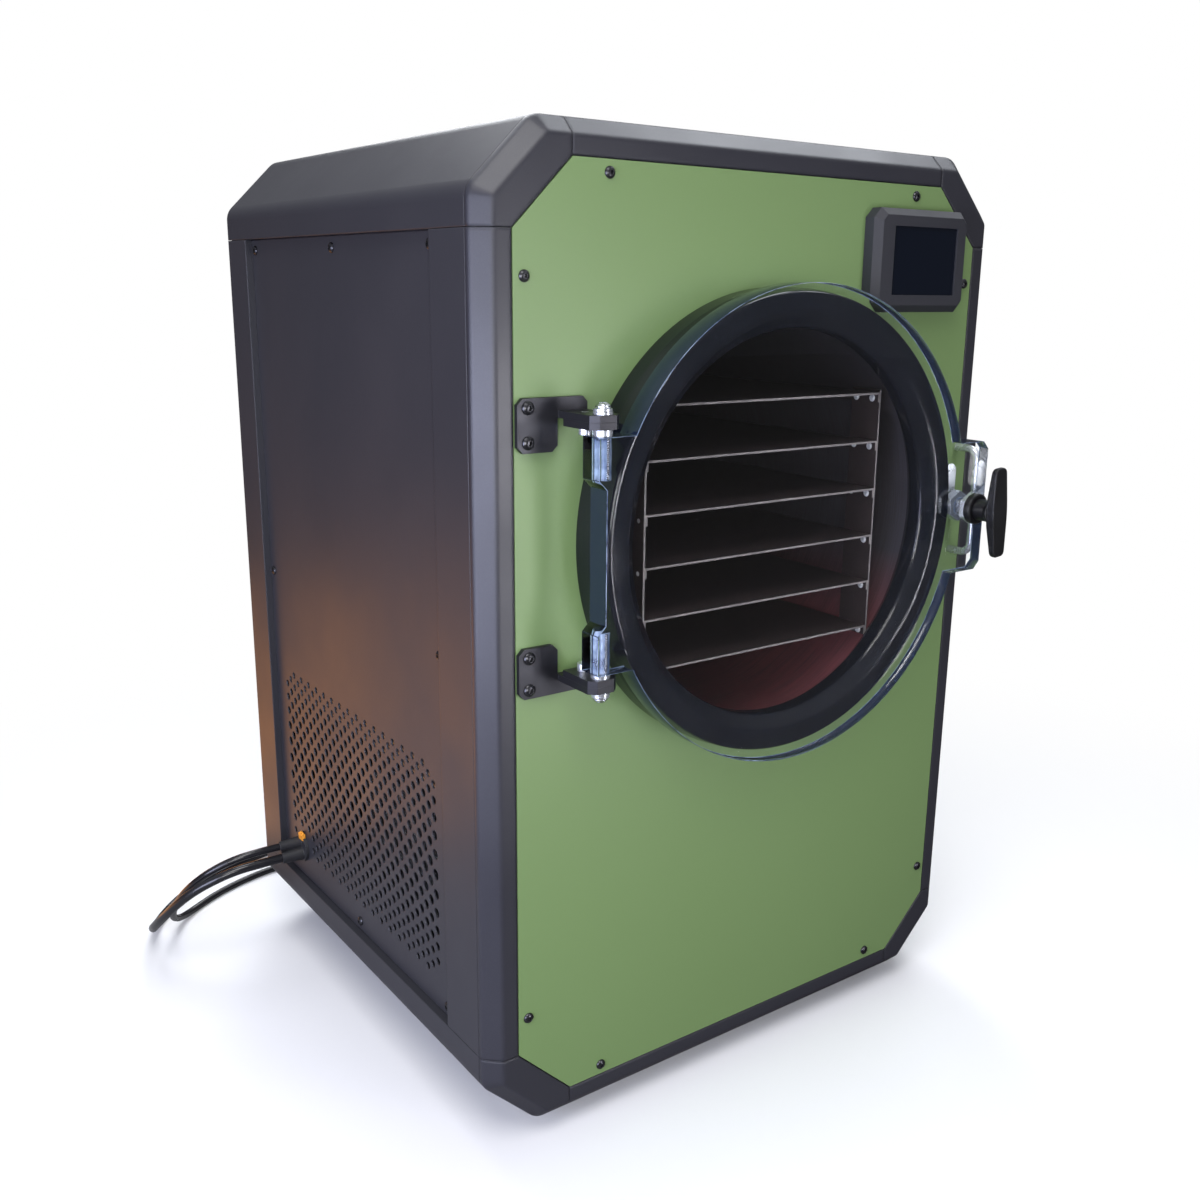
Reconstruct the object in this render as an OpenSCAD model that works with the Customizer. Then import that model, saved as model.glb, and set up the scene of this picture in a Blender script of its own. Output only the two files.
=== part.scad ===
// A floor or bench freeze dryer: an octagonal sheet-metal cabinet around a round vacuum chamber,
// a clear hinged door with a T-handle latch, a rack of shelves, a touch display and, under the
// chamber, the refrigeration set. +X is to the right, +Y to the rear and +Z up. The origin is on
// the floor, halfway from the cord grommet to the right side and from the latch handle to the
// end of the vacuum port.

/* [Cabinet] */
// Width across the side faces
cab_w = 470; // [450:5:565]
// Height without the feet
cab_h = 691; // [670:1:830]
// Depth from the front face to the rear edge
cab_d = 425; // [405:5:520]
// Leg of the 45 degree corner chamfers
corner_leg = 44; // [40:1:50]
// Outside radius of the bends along the chamfers
bend_r = 15; // [14:1:16]
// Thickness of the cabinet's sheet metal
sheet = 1.5; // [1:0.1:2]
// Gap left at every seam between outer pieces
seam = 0.4; // [0.2:0.1:0.6]
// Width of the front posts behind the front frame
front_post_w = 46; // [40:1:60]
// Width of the rear posts
rear_post_w = 40; // [34:1:60]
// Depth that the side panels are set back
recess = 6; // [4:0.5:10]
// Width of the flanges that the side and rear panels are screwed to
flange_w = 17; // [15:1:20]
// Height of the rubber feet
foot_h = 12; // [8:1:25]
// Radius of the rubber feet
foot_r = 16; // [12:1:20]

/* [Front frame and panel] */
// Face width of the frame rails
frame_w = 23; // [20:1:28]
// Depth of the frame
frame_t = 15; // [14:1:20]
// Leg of the bevel around the frame's front edge
frame_bevel = 11; // [8:1:11]
// Radius of the bevel's two rounded edges
frame_round = 4; // [2:0.5:4]
// Leg of the front panel's corner chamfers
panel_leg = 43.5; // [38:0.5:50]
// Thickness of the front panel
panel_t = 3; // [2:0.5:4]
// Gap around the front panel
panel_gap = 0.7; // [0.4:0.1:1.5]
// Width of the ledge that the front panel is screwed to
ledge_w = 20; // [17:1:21]
// Thickness of that ledge
ledge_t = 4; // [3:0.5:6]

/* [Screws] */
// Thread diameter of the panel screws
screw_d = 4; // [3:0.5:5]
// Head diameter of the panel screws
screw_head_d = 7.6; // [6:0.2:9]
// Distance of the panel screws from the panel's edge
screw_inset = 8.5; // [7:0.5:10]
// Distance of the front screws from the panel's chamfer corners
screw_step = 27.5; // [20:0.5:40]

/* [Vents] */
// Diameter of the vent holes in the middle row
vent_d = 8.2; // [5:0.1:8.6]
// Spacing of the vent holes along a row
vent_pitch_y = 16.2; // [14:0.1:17]
// Height of two staggered rows at the middle row
vent_pitch_z = 16.4; // [15:0.2:17]
// Share by which the holes and the row spacing shrink with every row from the middle
vent_taper = 0.028; // [0.02:0.001:0.03]
// Height of the middle row above the lower seam
vent_rise = 109; // [105:1:130]
// Holes in the longest row
vent_columns = 18; // [8:1:18]
// Staggered rows of holes
vent_rows = 25; // [9:2:25]

/* [Vacuum chamber] */
// Height of the chamber axis above the cabinet's underside
chamber_z = 427.5; // [422:0.5:440]
// Inside radius of the chamber
chamber_r = 152; // [150:1:153]
// Wall of the chamber
chamber_wall = 3; // [2:0.5:4]
// Length of the chamber behind the front panel
chamber_l = 345; // [315:5:350]
// How far the chamber rim stands out of the front panel
rim_out = 18; // [12:1:20]
// Outer radius of the insulation
jacket_r = 178; // [175:1:182]
// Diameter of the evaporator tube
coil_d = 9.5; // [8:0.5:10]
// Turns of the evaporator tube
coil_turns = 9; // [5:1:12]

/* [Door gasket] */
// Outer radius of the gasket at the front panel
gasket_r = 165; // [162:1:167]
// Outer radius of the gasket where it meets the door
gasket_front_r = 163; // [159:1:164]
// Radius of the gasket's mouth
gasket_mouth_r = 138; // [134:1:142]
// How far the gasket stands out of the front panel
gasket_l = 26.7; // [24:0.1:30]

/* [Shelf rack] */
// Number of shelves
shelf_count = 6; // [3:1:6]
// Width of a shelf
shelf_w = 221; // [200:1:222]
// Depth of a shelf
shelf_d = 300; // [260:5:320]
// Thickness of the shelf sheet
shelf_t = 1.5; // [1:0.1:2]
// Height from shelf to shelf
shelf_pitch = 36.7; // [30:0.1:37]
// Height of the top shelf above the chamber axis
shelf_top = 88.5; // [80:0.5:89]
// Distance of the shelf edges behind the front face
shelf_front = 4.5; // [3:0.5:20]
// Height of the turned-down shelf sides
shelf_lip = 6; // [5:0.5:6]
// Width of the rack straps
strap_w = 28; // [24:1:40]
// Thickness of the rack straps
strap_t = 1.5; // [1:0.1:1.5]
// Diameter of a rivet's body
rivet_d = 3.2; // [2.4:0.1:4]

/* [Door] */
// Radius of the clear door disc
pane_r = 168.5; // [166:0.5:170]
// Thickness of the clear door
pane_t = 18; // [15:0.5:20]
// Gap between the door and its gasket
pane_gap = 0.3; // [0.2:0.1:1]
// Distance of the door's hinge edge from the chamber axis
hinge_edge = 178.6; // [176:0.1:182]
// Half height of the hinge side
hinge_half = 75.5; // [70:0.5:85]
// Depth of the notch between the hinge ears
ear_notch = 6.1; // [3:0.1:7]
// Half height of that notch
notch_half = 43; // [30:1:50]
// Distance of the latch tab's edge from the chamber axis
tab_edge = 193.7; // [190:0.1:198]
// Half height of the latch tab
tab_half = 51; // [45:1:60]
// Corner chamfer of the latch tab
tab_cut = 6; // [3:0.5:10]

/* [Hinges] */
// Distance of the hinge axis from the chamber axis
hinge_x = 170; // [169.5:0.5:171]
// Diameter of the hinge bolts
bolt_d = 8; // [6:0.5:8]
// Radial running clearance of the hinge bolts and the latch spindle
run_fit = 0.05; // [0.02:0.01:0.09]
// Depth of the threads of the hinge bolts in the door
bolt_bite = 27; // [20:1:32]
// Thickness of the hinge arms and of the links under them
hinge_t = 4.5; // [4:0.5:6]
// Thickness of the hinge bracket's screwed pad
pad_t = 3.5; // [3:0.5:5]
// Width of the hinge arms
arm_w = 22; // [20:0.5:22]
// Width of the hinge bracket's screwed pad
pad_w = 29.5; // [26:0.5:30]
// Height of that pad
pad_h = 34; // [30:1:40]
// Gap filled by the washer between the door and the hinge link
washer_gap = 4; // [3:0.1:4.5]

/* [Latch] */
// Distance of the latch axis from the chamber axis
latch_x = 175; // [174:0.5:178]
// Diameter of the latch spindle
spindle_d = 8; // [6:0.5:8.5]
// Radius of the latch collar
collar_r = 12; // [10:0.5:12]
// Thickness of the latch collar in front of its nut
collar_t = 5.4; // [4:0.1:7]
// Thickness of the nut between the door and the collar
front_nut_t = 4.5; // [3.5:0.1:5]
// Diameter of the latch barrel that goes through the door
barrel_d = 13; // [12:0.5:14]
// Width across the flats of the latch nut
nut_flats = 21; // [18:0.5:22]
// Length of the T-handle
handle_l = 70; // [60:1:90]
// Width of the T-handle's bar at its middle
handle_w = 17.2; // [16:0.2:22]
// Angle at which the T-handle rests, its lower end to the right
handle_turn = 4.5; // [0:0.5:6]
// How far the T-handle stands in front of the door
handle_reach = 30; // [29:0.5:40]
// Length of the latch cam from its axis
cam_l = 32; // [31:0.5:36]
// Diameter of the striker rod
striker_d = 6; // [5:0.5:7]
// Half height of the striker
striker_half = 42; // [40:0.5:48]
// Distance of the striker from the chamber axis
striker_x = 200; // [198:0.5:202]

/* [Display] */
// Width of the display housing
display_w = 102; // [96:1:104]
// Height of the display housing
display_h = 74; // [70:1:76]
// Depth of the display housing
display_t = 13.6; // [11:0.2:16]
// Leg of the bevel around the display housing's front
display_bevel = 5; // [3:0.1:6]
// Width of the screen window
screen_w = 70; // [60:1:74]
// Height of the screen window
screen_h = 49; // [44:1:52]
// Height of the display's centre above the chamber axis
display_z = 185; // [184:1:188]
// Distance of the display's centre from the chamber axis
display_x = 139; // [138:1:140]

/* [Cooling set] */
// Radius of the compressor shell
compressor_r = 62; // [50:1:70]
// Height of the compressor
compressor_h = 150; // [120:5:170]
// Height of the condenser block
condenser_h = 170; // [120:5:175]
// Radius of the fan blades
fan_r = 68; // [55:1:72]

// Outer diameter of the vacuum port behind the chamber
port_d = 19; // [15:0.5:19]
// How far the vacuum port stands out behind the cabinet
port_out = 20; // [15:1:30]

/* [Cords] */
// How far the grommet's sleeves stand out of the side panel
gland_out = 22; // [18:1:26]
// Diameter of the mains cord
mains_d = 8; // [7:0.5:8]
// Diameter of the pump cord
pump_d = 6.5; // [6:0.5:6.5]

/* [Hidden] */
eps = 0.01;
front_y = (handle_out() - cab_d - port_out) / 2;
body_nodes = [
    "top_hood", "base_pan", "front_post_left", "front_post_right", "rear_post_left",
    "rear_post_right", "side_panel_left", "side_panel_right", "frame_rail_top",
    "frame_rail_bottom", "frame_rail_left", "frame_rail_right", "frame_corners", "front_panel",
    "front_panel_screws", "cabinet_screws", "rear_panel", "feet", "chamber_deck"
];
chamber_nodes = [
    "chamber_drum", "door_gasket", "evaporator_coil", "insulation_jacket", "vacuum_port",
    "rack_straps", "shelf_rivets"
];
door_nodes = [
    "hinge_bracket_upper", "hinge_bracket_lower", "hinge_links", "hinge_screws", "door_pane",
    "hinge_bolts", "hinge_hardware", "latch_housing", "latch_nut", "latch_handle", "latch_cam",
    "striker"
];
works_nodes = [
    "display_housing", "display_screen", "control_board", "compressor", "condenser",
    "fan_motor", "fan_rotor", "switch_bezel", "switch_rocker"
];
cord_nodes = [
    "cable_gland", "mains_cord", "mains_coil", "mains_plug", "pump_cord", "pump_coil",
    "pump_connector"
];

// Levels and places worked out from the driving sizes, from the cabinet's underside and front face.
seam_top = cab_h - frame_w - panel_leg;
seam_bottom = frame_w + panel_leg;
window_front = frame_t + front_post_w;
window_rear = cab_d - rear_post_w;
panel_x = cab_w / 2 - recess;
front_x = (panel_x + gland_out - cab_w / 2) / 2;
flange_x = panel_x - sheet;
rear_panel_y = cab_d - 3;
rear_flange_y = rear_panel_y - sheet;
fit = 0.02;
pane_back = -gasket_l - pane_gap;
pane_front = pane_back - pane_t;
hinge_y = (pane_front + pane_back) / 2;
link_z = hinge_half + washer_gap;
hinge_top = link_z + 2 * hinge_t;
arm_end = hinge_y - 6.2;
collar_front = pane_front - front_nut_t - collar_t;
strap_x = shelf_w / 2;
gland_y = window_rear - 41;
gland_z = 94.5;
gland_r = 12.5;
deck_z = chamber_z - jacket_r - 8;
port_z = chamber_z + 110;

// How far the handle stands in front of the cabinet's front face.
function handle_out() = gasket_l + pane_gap + pane_t + handle_reach;

function unit(v) = v / norm(v);

function dir(a) = [cos(a), sin(a)];

// Points of an octagon that stands on z = 0, set in by d on every side.
function octagon(w, h, leg, d = 0) =
    let (x = w / 2 - d, l = leg - d * (2 - sqrt(2)), low = d, high = h - d)
    [
        [-x + l, low], [x - l, low], [x, low + l], [x, high - l],
        [x - l, high], [-x + l, high], [-x, high - l], [-x, low + l]
    ];

// Points of the arc that rounds the corner b between a and c.
function fillet(a, b, c, r, n) =
    let (u = unit(a - b), v = unit(c - b), half = acos(u * v) / 2)
    let (centre = b + unit(u + v) * r / sin(half), p = b + u * r / tan(half))
    let (q = b + v * r / tan(half), start = atan2(p.y - centre.y, p.x - centre.x))
    let (end = atan2(q.y - centre.y, q.x - centre.x))
    let (turn = end - start > 180 ? end - start - 360 : end - start < -180 ? end - start + 360 : end - start)
    [for (k = [0:n]) centre + r * dir(start + turn * k / n)];

// An outline with corner i rounded to radius radii[i].
function rounded(points, radii, n = 5) =
    let (m = len(points))
    [
        for (i = [0:m - 1])
            each radii[i] > 0
                ? fillet(points[(i + m - 1) % m], points[i], points[(i + 1) % m], radii[i], n)
                : [points[i]]
    ];

// Puts a piece drawn from the cabinet's front face and underside in the part's own frame.
module placed() {
    translate([front_x, front_y, foot_h]) children();
}

// Extrudes an outline of x and z along the depth, from y0 to y1.
module along_y(y0, y1) {
    translate([0, y1, 0]) rotate([90, 0, 0]) linear_extrude(y1 - y0) children();
}

// Extrudes an outline of y and z across the width, from x0 to x1.
module along_x(x0, x1) {
    translate([x0, 0, 0]) rotate([90, 0, 90]) linear_extrude(x1 - x0) children();
}

// Turns a profile of radius and depth about the chamber axis, or another axis along the depth.
module turned(x = 0, z = chamber_z, fn = 128) {
    translate([x, 0, z]) rotate([-90, 0, 0]) rotate_extrude($fn = fn) children();
}

// A cylinder along the depth from y0 to y1.
module rod_y(x, z, y0, y1, r, fn = 48) {
    translate([x, y0, z]) rotate([-90, 0, 0]) cylinder(h = y1 - y0, r = r, $fn = fn);
}

module upside_down() {
    translate([0, 0, cab_h]) mirror([0, 0, 1]) children();
}

module both_sides() {
    children();
    mirror([1, 0, 0]) children();
}

// The cabinet's outline with its bent corners, set in by d.
module cabinet_outline(d = 0) {
    v = octagon(cab_w, cab_h, corner_leg, bend_r);
    r = bend_r - d;
    polygon([for (i = [0:7], k = [0, 1]) v[i] + r * dir(45 * (i - 1 + k) - 90)]);
    for (p = v) translate(p) circle(r, $fn = 64);
}

// The opening in the front frame, set in by d.
module panel_outline(d = 0) {
    translate([0, frame_w])
        polygon(octagon(cab_w - 2 * frame_w, cab_h - 2 * frame_w, panel_leg, d));
}

// A button-head screw that points along +Z, with its head below z = 0 and a hexagon socket.
module button_screw(d, length, head_d, head_h) {
    difference() {
        union() {
            cylinder(h = length, d = d, $fn = 32);
            rotate([180, 0, 0]) rotate_extrude($fn = 48) polygon([
                [0, 0], [head_d / 2, 0], [head_d / 2, head_h * 0.3], [head_d * 0.44, head_h * 0.6],
                [head_d * 0.32, head_h * 0.88], [head_d * 0.22, head_h], [0, head_h]
            ]);
        }
        translate([0, 0, -head_h - 1]) cylinder(h = 1 + head_h * 0.7, d = d * 0.72, $fn = 6);
    }
}

// Half of the cabinet's wrap: the roof, its chamfers and its side lips down to the seam, with the
// joggled side flanges and the front and rear flanges. The base is the same fold turned over.
module wrap() {
    lip = seam_top + seam / 2;
    along_y(frame_t + seam, cab_d) intersection() {
        difference() {
            cabinet_outline();
            cabinet_outline(sheet);
        }
        translate([-cab_w, lip]) square([2 * cab_w, cab_h]);
    }
    for (y = [frame_t, rear_flange_y - sheet]) along_y(y, y + sheet) intersection() {
        difference() {
            cabinet_outline(seam);
            polygon(octagon(cab_w, cab_h, corner_leg, sheet + flange_w));
        }
        translate([-cab_w, lip]) square([2 * cab_w, cab_h]);
    }
    both_sides() {
        translate([flange_x - sheet, window_front, lip])
            cube([cab_w / 2 - flange_x, window_rear - window_front, sheet]);
        translate([flange_x - sheet, window_front + flange_w, lip - flange_w])
            cube([sheet, window_rear - window_front - 2 * flange_w, flange_w + eps]);
    }
}

function side_screw_y() = [
    window_front + screw_inset + 1, (window_front + window_rear) / 2, window_rear - screw_inset + 1
];

function side_screw_z() = [
    seam_bottom + screw_inset, (seam_top + seam_bottom) / 2, seam_top - screw_inset
];

function side_screws() = [
    for (y = side_screw_y(), z = side_screw_z())
        if (y != side_screw_y()[1] || z != side_screw_z()[1]) [y, z]
];

// Holes along X through the right side of the cabinet, at the side panel's screws.
module side_screw_holes(d) {
    for (p = side_screws())
        translate([flange_x - 3 * sheet, p[0], p[1]]) rotate([0, 90, 0]) cylinder(h = 20, d = d, $fn = 32);
}

function rear_screws() = let (x = cab_w / 2 - sheet - flange_w / 2, z = flange_w / 2 + sheet)
    [
        for (s = [-1, 1]) each [
            [s * x, seam_bottom + 40], [s * x, cab_h / 2], [s * x, seam_top - 40],
            [s * (cab_w / 2 - corner_leg - 40), z], [s * (cab_w / 2 - corner_leg - 40), cab_h - z]
        ]
    ];

module rear_screw_holes(d) {
    for (p = rear_screws()) rod_y(p[0], p[1], rear_flange_y - 3 * sheet, cab_d, d / 2, 32);
}

module top_hood() {
    color("dimgray") placed() difference() {
        wrap();
        both_sides() side_screw_holes(screw_d + 2 * fit);
        rear_screw_holes(screw_d + 2 * fit);
    }
}

function feet_at() = [for (x = [-1, 1], y = [60, cab_d - 60]) [x * (cab_w / 2 - 65), y]];

module base_pan() {
    color("dimgray") placed() difference() {
        upside_down() wrap();
        both_sides() side_screw_holes(screw_d + 2 * fit);
        rear_screw_holes(screw_d + 2 * fit);
        for (p = feet_at()) translate([p.x, p.y, -1]) cylinder(h = 2 + sheet, d = 5 + 2 * fit, $fn = 32);
        translate([-flange_x - sheet / 2, gland_y, gland_z]) rotate([0, 90, 0])
            cylinder(h = 2 * sheet, r = gland_r + 0.5, $fn = 48);
    }
}

// A front post of the right side: a folded strip with a flange for the side panel.
module front_post() {
    translate([0, 0, seam_bottom + seam / 2]) linear_extrude(seam_top - seam_bottom - seam) {
        translate([cab_w / 2 - sheet, frame_t + seam]) square([sheet, front_post_w - seam]);
        translate([cab_w / 2 - flange_w, frame_t]) square([flange_w - seam, sheet]);
        translate([flange_x - sheet, window_front - sheet]) square([cab_w / 2 - flange_x + sheet, sheet]);
        translate([flange_x - sheet, window_front - sheet]) square([sheet, flange_w]);
    }
}

// A rear post of the right side, with flanges for the side panel and the rear panel.
module rear_post() {
    translate([0, 0, seam_bottom + seam / 2]) linear_extrude(seam_top - seam_bottom - seam) {
        translate([cab_w / 2 - sheet, window_rear]) square([sheet, rear_post_w]);
        translate([flange_x - sheet, window_rear]) square([cab_w / 2 - flange_x + sheet, sheet]);
        translate([flange_x - sheet, window_rear + sheet - flange_w]) square([sheet, flange_w]);
        translate([cab_w / 2 - sheet - flange_w, rear_flange_y - sheet])
            square([flange_w + sheet, sheet]);
    }
}

module drilled_post() {
    difference() {
        children();
        side_screw_holes(screw_d + 2 * fit);
        rear_screw_holes(screw_d + 2 * fit);
    }
}

module front_post_left() {
    color("dimgray") placed() mirror([1, 0, 0]) drilled_post() front_post();
}

module front_post_right() {
    color("dimgray") placed() drilled_post() front_post();
}

module rear_post_left() {
    color("dimgray") placed() mirror([1, 0, 0]) drilled_post() rear_post();
}

module rear_post_right() {
    color("dimgray") placed() drilled_post() rear_post();
}

// The vent holes, as y, z and diameter: staggered rows with every corner of the field cut off. From
// the middle row up and down the rows draw together and the holes get smaller.
function vents() =
    let (middle = (window_front + window_rear) / 2, half = (vent_rows - 1) / 2)
    let (y0 = middle - (vent_columns - 1) * vent_pitch_y / 2, z0 = seam_bottom + vent_rise)
    [
        for (row = [0:vent_rows - 1], col = [0:vent_columns - 1 - row % 2])
            let (y = col + row % 2 / 2, side = min(y, vent_columns - 1 - y), k = abs(row - half))
            let (rise = vent_pitch_z / 2 * (k - vent_taper / 2 * k * k))
            if (side + (half - k) / 2 > 0.9)
                [y0 + y * vent_pitch_y, z0 + sign(row - half) * rise, vent_d * (1 - vent_taper * k)]
    ];

// A recessed side panel, with the vent holes that keep clear of the point bare_at.
module side_panel(bare_at) {
    lo = [window_front + seam / 2, seam_bottom + seam];
    hi = [window_rear - seam / 2, seam_top - seam];
    along_x(flange_x, panel_x) difference() {
        translate(lo) square(hi - lo);
        for (p = vents()) if (norm([p.x, p.y] - bare_at) > 19) translate([p.x, p.y]) circle(d = p.z, $fn = 24);
        for (p = side_screws()) translate(p) circle(d = screw_d + 0.6, $fn = 24);
    }
}

module side_panel_left() {
    color("dimgray") placed() difference() {
        mirror([1, 0, 0]) side_panel([gland_y, gland_z]);
        translate([-cab_w / 2 - 1, gland_y, gland_z]) rotate([0, 90, 0])
            cylinder(h = 2 * recess, r = 11, $fn = 48);
    }
}

module side_panel_right() {
    color("dimgray") placed() side_panel([0, 0]);
}

module rear_panel() {
    color("dimgray") placed() difference() {
        along_y(rear_flange_y, rear_panel_y) cabinet_outline(sheet + seam);
        rear_screw_holes(screw_d + 0.6);
        translate([switch_x - switch_w / 2, rear_flange_y - 1, switch_z - switch_h / 2])
            cube([switch_w, 4, switch_h]);
        rod_y(0, port_z, rear_flange_y - 1, cab_d, port_d / 2 + 0.5, 64);
    }
}

// Section of the frame outside the bend axes: the outward distance and the depth.
function frame_section() = rounded([
    [0, 0], [bend_r - frame_bevel, 0], [bend_r, frame_bevel], [bend_r, frame_t], [0, frame_t]
], [0, frame_round, frame_round, 0, 0]);

// The whole frame without its opening: that section carried round the cabinet's octagon.
module frame_blank() {
    v = octagon(cab_w, cab_h, corner_leg, bend_r);
    n = 6;
    m = 8 * (n + 1);
    section = [for (p = frame_section()) if (p.x > 0) p];
    last = len(section) - 1;
    polyhedron(
        points = [
            for (p = section, i = [0:7], k = [0:n])
                let (q = v[i] + p.x * dir(45 * (i - 1 + k / n) - 90)) [q.x, p.y, q.y]
        ],
        faces = concat(
            [[for (k = [m - 1:-1:0]) k]],
            [for (j = [0:last - 1], k = [0:m - 1])
                [j * m + k, j * m + (k + 1) % m, (j + 1) * m + (k + 1) % m, (j + 1) * m + k]],
            [[for (k = [0:m - 1]) last * m + k]]
        )
    );
}

module ledge() {
    along_y(panel_t, panel_t + ledge_t) difference() {
        panel_outline(-2);
        panel_outline(ledge_w);
    }
}

function front_screws() = let (x = cab_w / 2 - frame_w, z = frame_w)
    [
        for (s = [-1, 1]) each [
            [s * (x - screw_inset), seam_bottom + screw_step], [s * (x - screw_inset), seam_top - screw_step],
            [s * (x - panel_leg - screw_step), z + screw_inset],
            [s * (x - panel_leg - screw_step), cab_h - z - screw_inset]
        ]
    ];

module front_screw_holes(d) {
    for (p = front_screws()) rod_y(p[0], p[1], -1, frame_t, d / 2, 32);
}

// A straight rail on the right side, from the lower to the upper seam.
module side_rail() {
    x0 = cab_w / 2 - bend_r;
    translate([0, 0, seam_bottom + seam / 2]) linear_extrude(seam_top - seam_bottom - seam) {
        translate([x0, 0]) polygon(frame_section());
        translate([cab_w / 2 - frame_w, 0]) square([frame_w - bend_r, frame_t]);
        translate([cab_w / 2 - frame_w - ledge_w, panel_t]) square([ledge_w, ledge_t]);
    }
}

// A straight rail along the top, between the two upper seams.
module top_rail() {
    half = cab_w / 2 - frame_w - panel_leg - seam / 2;
    translate([half, 0, 0]) rotate([0, -90, 0]) linear_extrude(2 * half) {
        translate([cab_h - bend_r, 0]) polygon(frame_section());
        translate([cab_h - frame_w, 0]) square([frame_w - bend_r, frame_t]);
        translate([cab_h - frame_w - ledge_w, panel_t]) square([ledge_w, ledge_t]);
    }
}

module pad_screw_holes() {
    for (z = [-1, 1], p = pad_screws()) rod_y(p.x, chamber_z + z * p.y, -1, frame_t, pad_screw_d / 2 + fit, 32);
}

module striker_holes() {
    for (z = [-1, 1])
        rod_y(striker_x, chamber_z + z * striker_half, -1, panel_t + ledge_t + 1, striker_d / 2 + fit);
}

module drilled_rail() {
    difference() {
        children();
        front_screw_holes(screw_d + 2 * fit);
        pad_screw_holes();
        striker_holes();
    }
}

module frame_rail_left() {
    color("dimgray") placed() drilled_rail() mirror([1, 0, 0]) side_rail();
}

module frame_rail_right() {
    color("dimgray") placed() drilled_rail() side_rail();
}

module frame_rail_top() {
    color("dimgray") placed() drilled_rail() top_rail();
}

module frame_rail_bottom() {
    color("dimgray") placed() drilled_rail() upside_down() top_rail();
}

// The moulded corner of the frame at the lower left.
module frame_corner() {
    reach = frame_w + panel_leg - seam / 2;
    intersection() {
        union() {
            difference() {
                frame_blank();
                along_y(-1, frame_t + 1) panel_outline();
            }
            ledge();
        }
        translate([-cab_w / 2 - 1, -1, -1]) cube([reach + 1, frame_t + 2, reach + 1]);
    }
}

module frame_corners() {
    color("dimgray") placed() both_sides() {
        frame_corner();
        upside_down() frame_corner();
    }
}

module front_panel() {
    color("olivedrab") placed() difference() {
        along_y(0, panel_t) panel_outline(panel_gap);
        rod_y(0, chamber_z, -1, panel_t + 1, chamber_r + chamber_wall + 0.5, 128);
        front_screw_holes(screw_d + 0.6);
        striker_holes();
        pad_screw_holes();
        translate([display_x - 10, -1, chamber_z + display_z - 6]) cube([20, panel_t + 2, 12]);
    }
}

module front_panel_screws() {
    color("black") placed() for (p = front_screws())
        translate([p[0], 0, p[1]]) rotate([-90, 0, 0]) button_screw(screw_d, 10, screw_head_d, 2.2);
}

module cabinet_screws() {
    color("black") placed() {
        both_sides() for (p = side_screws())
            translate([panel_x, p[0], p[1]]) rotate([0, -90, 0]) button_screw(screw_d, 10, screw_head_d, 2.2);
        for (p = rear_screws()) translate([p[0], rear_panel_y, p[1]]) rotate([90, 0, 0])
            button_screw(screw_d, 10, screw_head_d, 2.2);
    }
}

module feet() {
    color("black") translate([front_x, front_y, 0]) for (p = feet_at()) translate([p.x, p.y, 0]) {
        cylinder(h = foot_h, r1 = foot_r - 3, r2 = foot_r, $fn = 64);
        translate([0, 0, foot_h - eps]) cylinder(h = 10, d = 5, $fn = 32);
    }
}

// The deck that carries the chamber on two saddles over the cooling set.
module chamber_deck() {
    half = flange_x - sheet;
    front = window_front + 4;
    saddle = 100;
    color("silver") placed() difference() {
        union() {
            translate([-half, front, deck_z - 2]) cube([2 * half, window_rear - 4 - front, 2]);
            for (x = [-half, half - 2])
                translate([x, front, deck_z - eps]) cube([2, window_rear - 4 - front, 22]);
            for (y = [70, chamber_l - 45]) translate([-saddle, y, deck_z - eps]) cube([2 * saddle, 2, 50]);
        }
        rod_y(0, chamber_z, 0, cab_d, jacket_r + 0.3, 128);
    }
}

module chamber_drum() {
    outer = chamber_r + chamber_wall;
    color("silver") placed() difference() {
        union() {
            rod_y(0, chamber_z, -rim_out, chamber_l, outer, 128);
            rod_y(0, chamber_z, panel_t, panel_t + 3, outer + 12, 128);
        }
        rod_y(0, chamber_z, -rim_out - 1, chamber_l - 5, chamber_r, 128);
        rod_y(0, port_z, chamber_l - 6, chamber_l + 1, port_d / 2 - 2);
    }
}

// The rubber gasket: a thick ring pushed over the chamber's rim, with a rounded mouth.
module door_gasket() {
    outer = chamber_r + chamber_wall;
    color("black") placed() turned() difference() {
        polygon(rounded([
            [gasket_mouth_r + 7, 0], [gasket_mouth_r, -8], [gasket_mouth_r, -gasket_l + 8],
            [gasket_mouth_r + 10, -gasket_l], [gasket_front_r, -gasket_l], [gasket_r, -14], [gasket_r, 0]
        ], [0, 5, 6, 8, 3, 8, 0]));
        translate([chamber_r, -rim_out]) square([outer - chamber_r, rim_out + 1]);
    }
}

module evaporator_coil() {
    r = chamber_r + chamber_wall + coil_d / 2 + 0.3;
    step = (chamber_l - 70) / (coil_turns - 1);
    color("peru") placed() {
        for (i = [0:coil_turns - 1])
            turned() translate([r, 25 + i * step]) circle(d = coil_d, $fn = 24);
        rod_y(0, chamber_z - r, 25, 25 + (coil_turns - 1) * step, coil_d / 2 - 0.5, 24);
    }
}

module insulation_jacket() {
    inner = chamber_r + chamber_wall + coil_d + 0.6;
    color("dimgray") placed() difference() {
        rod_y(0, chamber_z, 12, chamber_l + 20, jacket_r, 128);
        rod_y(0, chamber_z, 11, chamber_l + 0.2, inner, 128);
        rod_y(0, port_z, chamber_l - 1, chamber_l + 21, port_d / 2 + 0.5, 64);
    }
}

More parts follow.
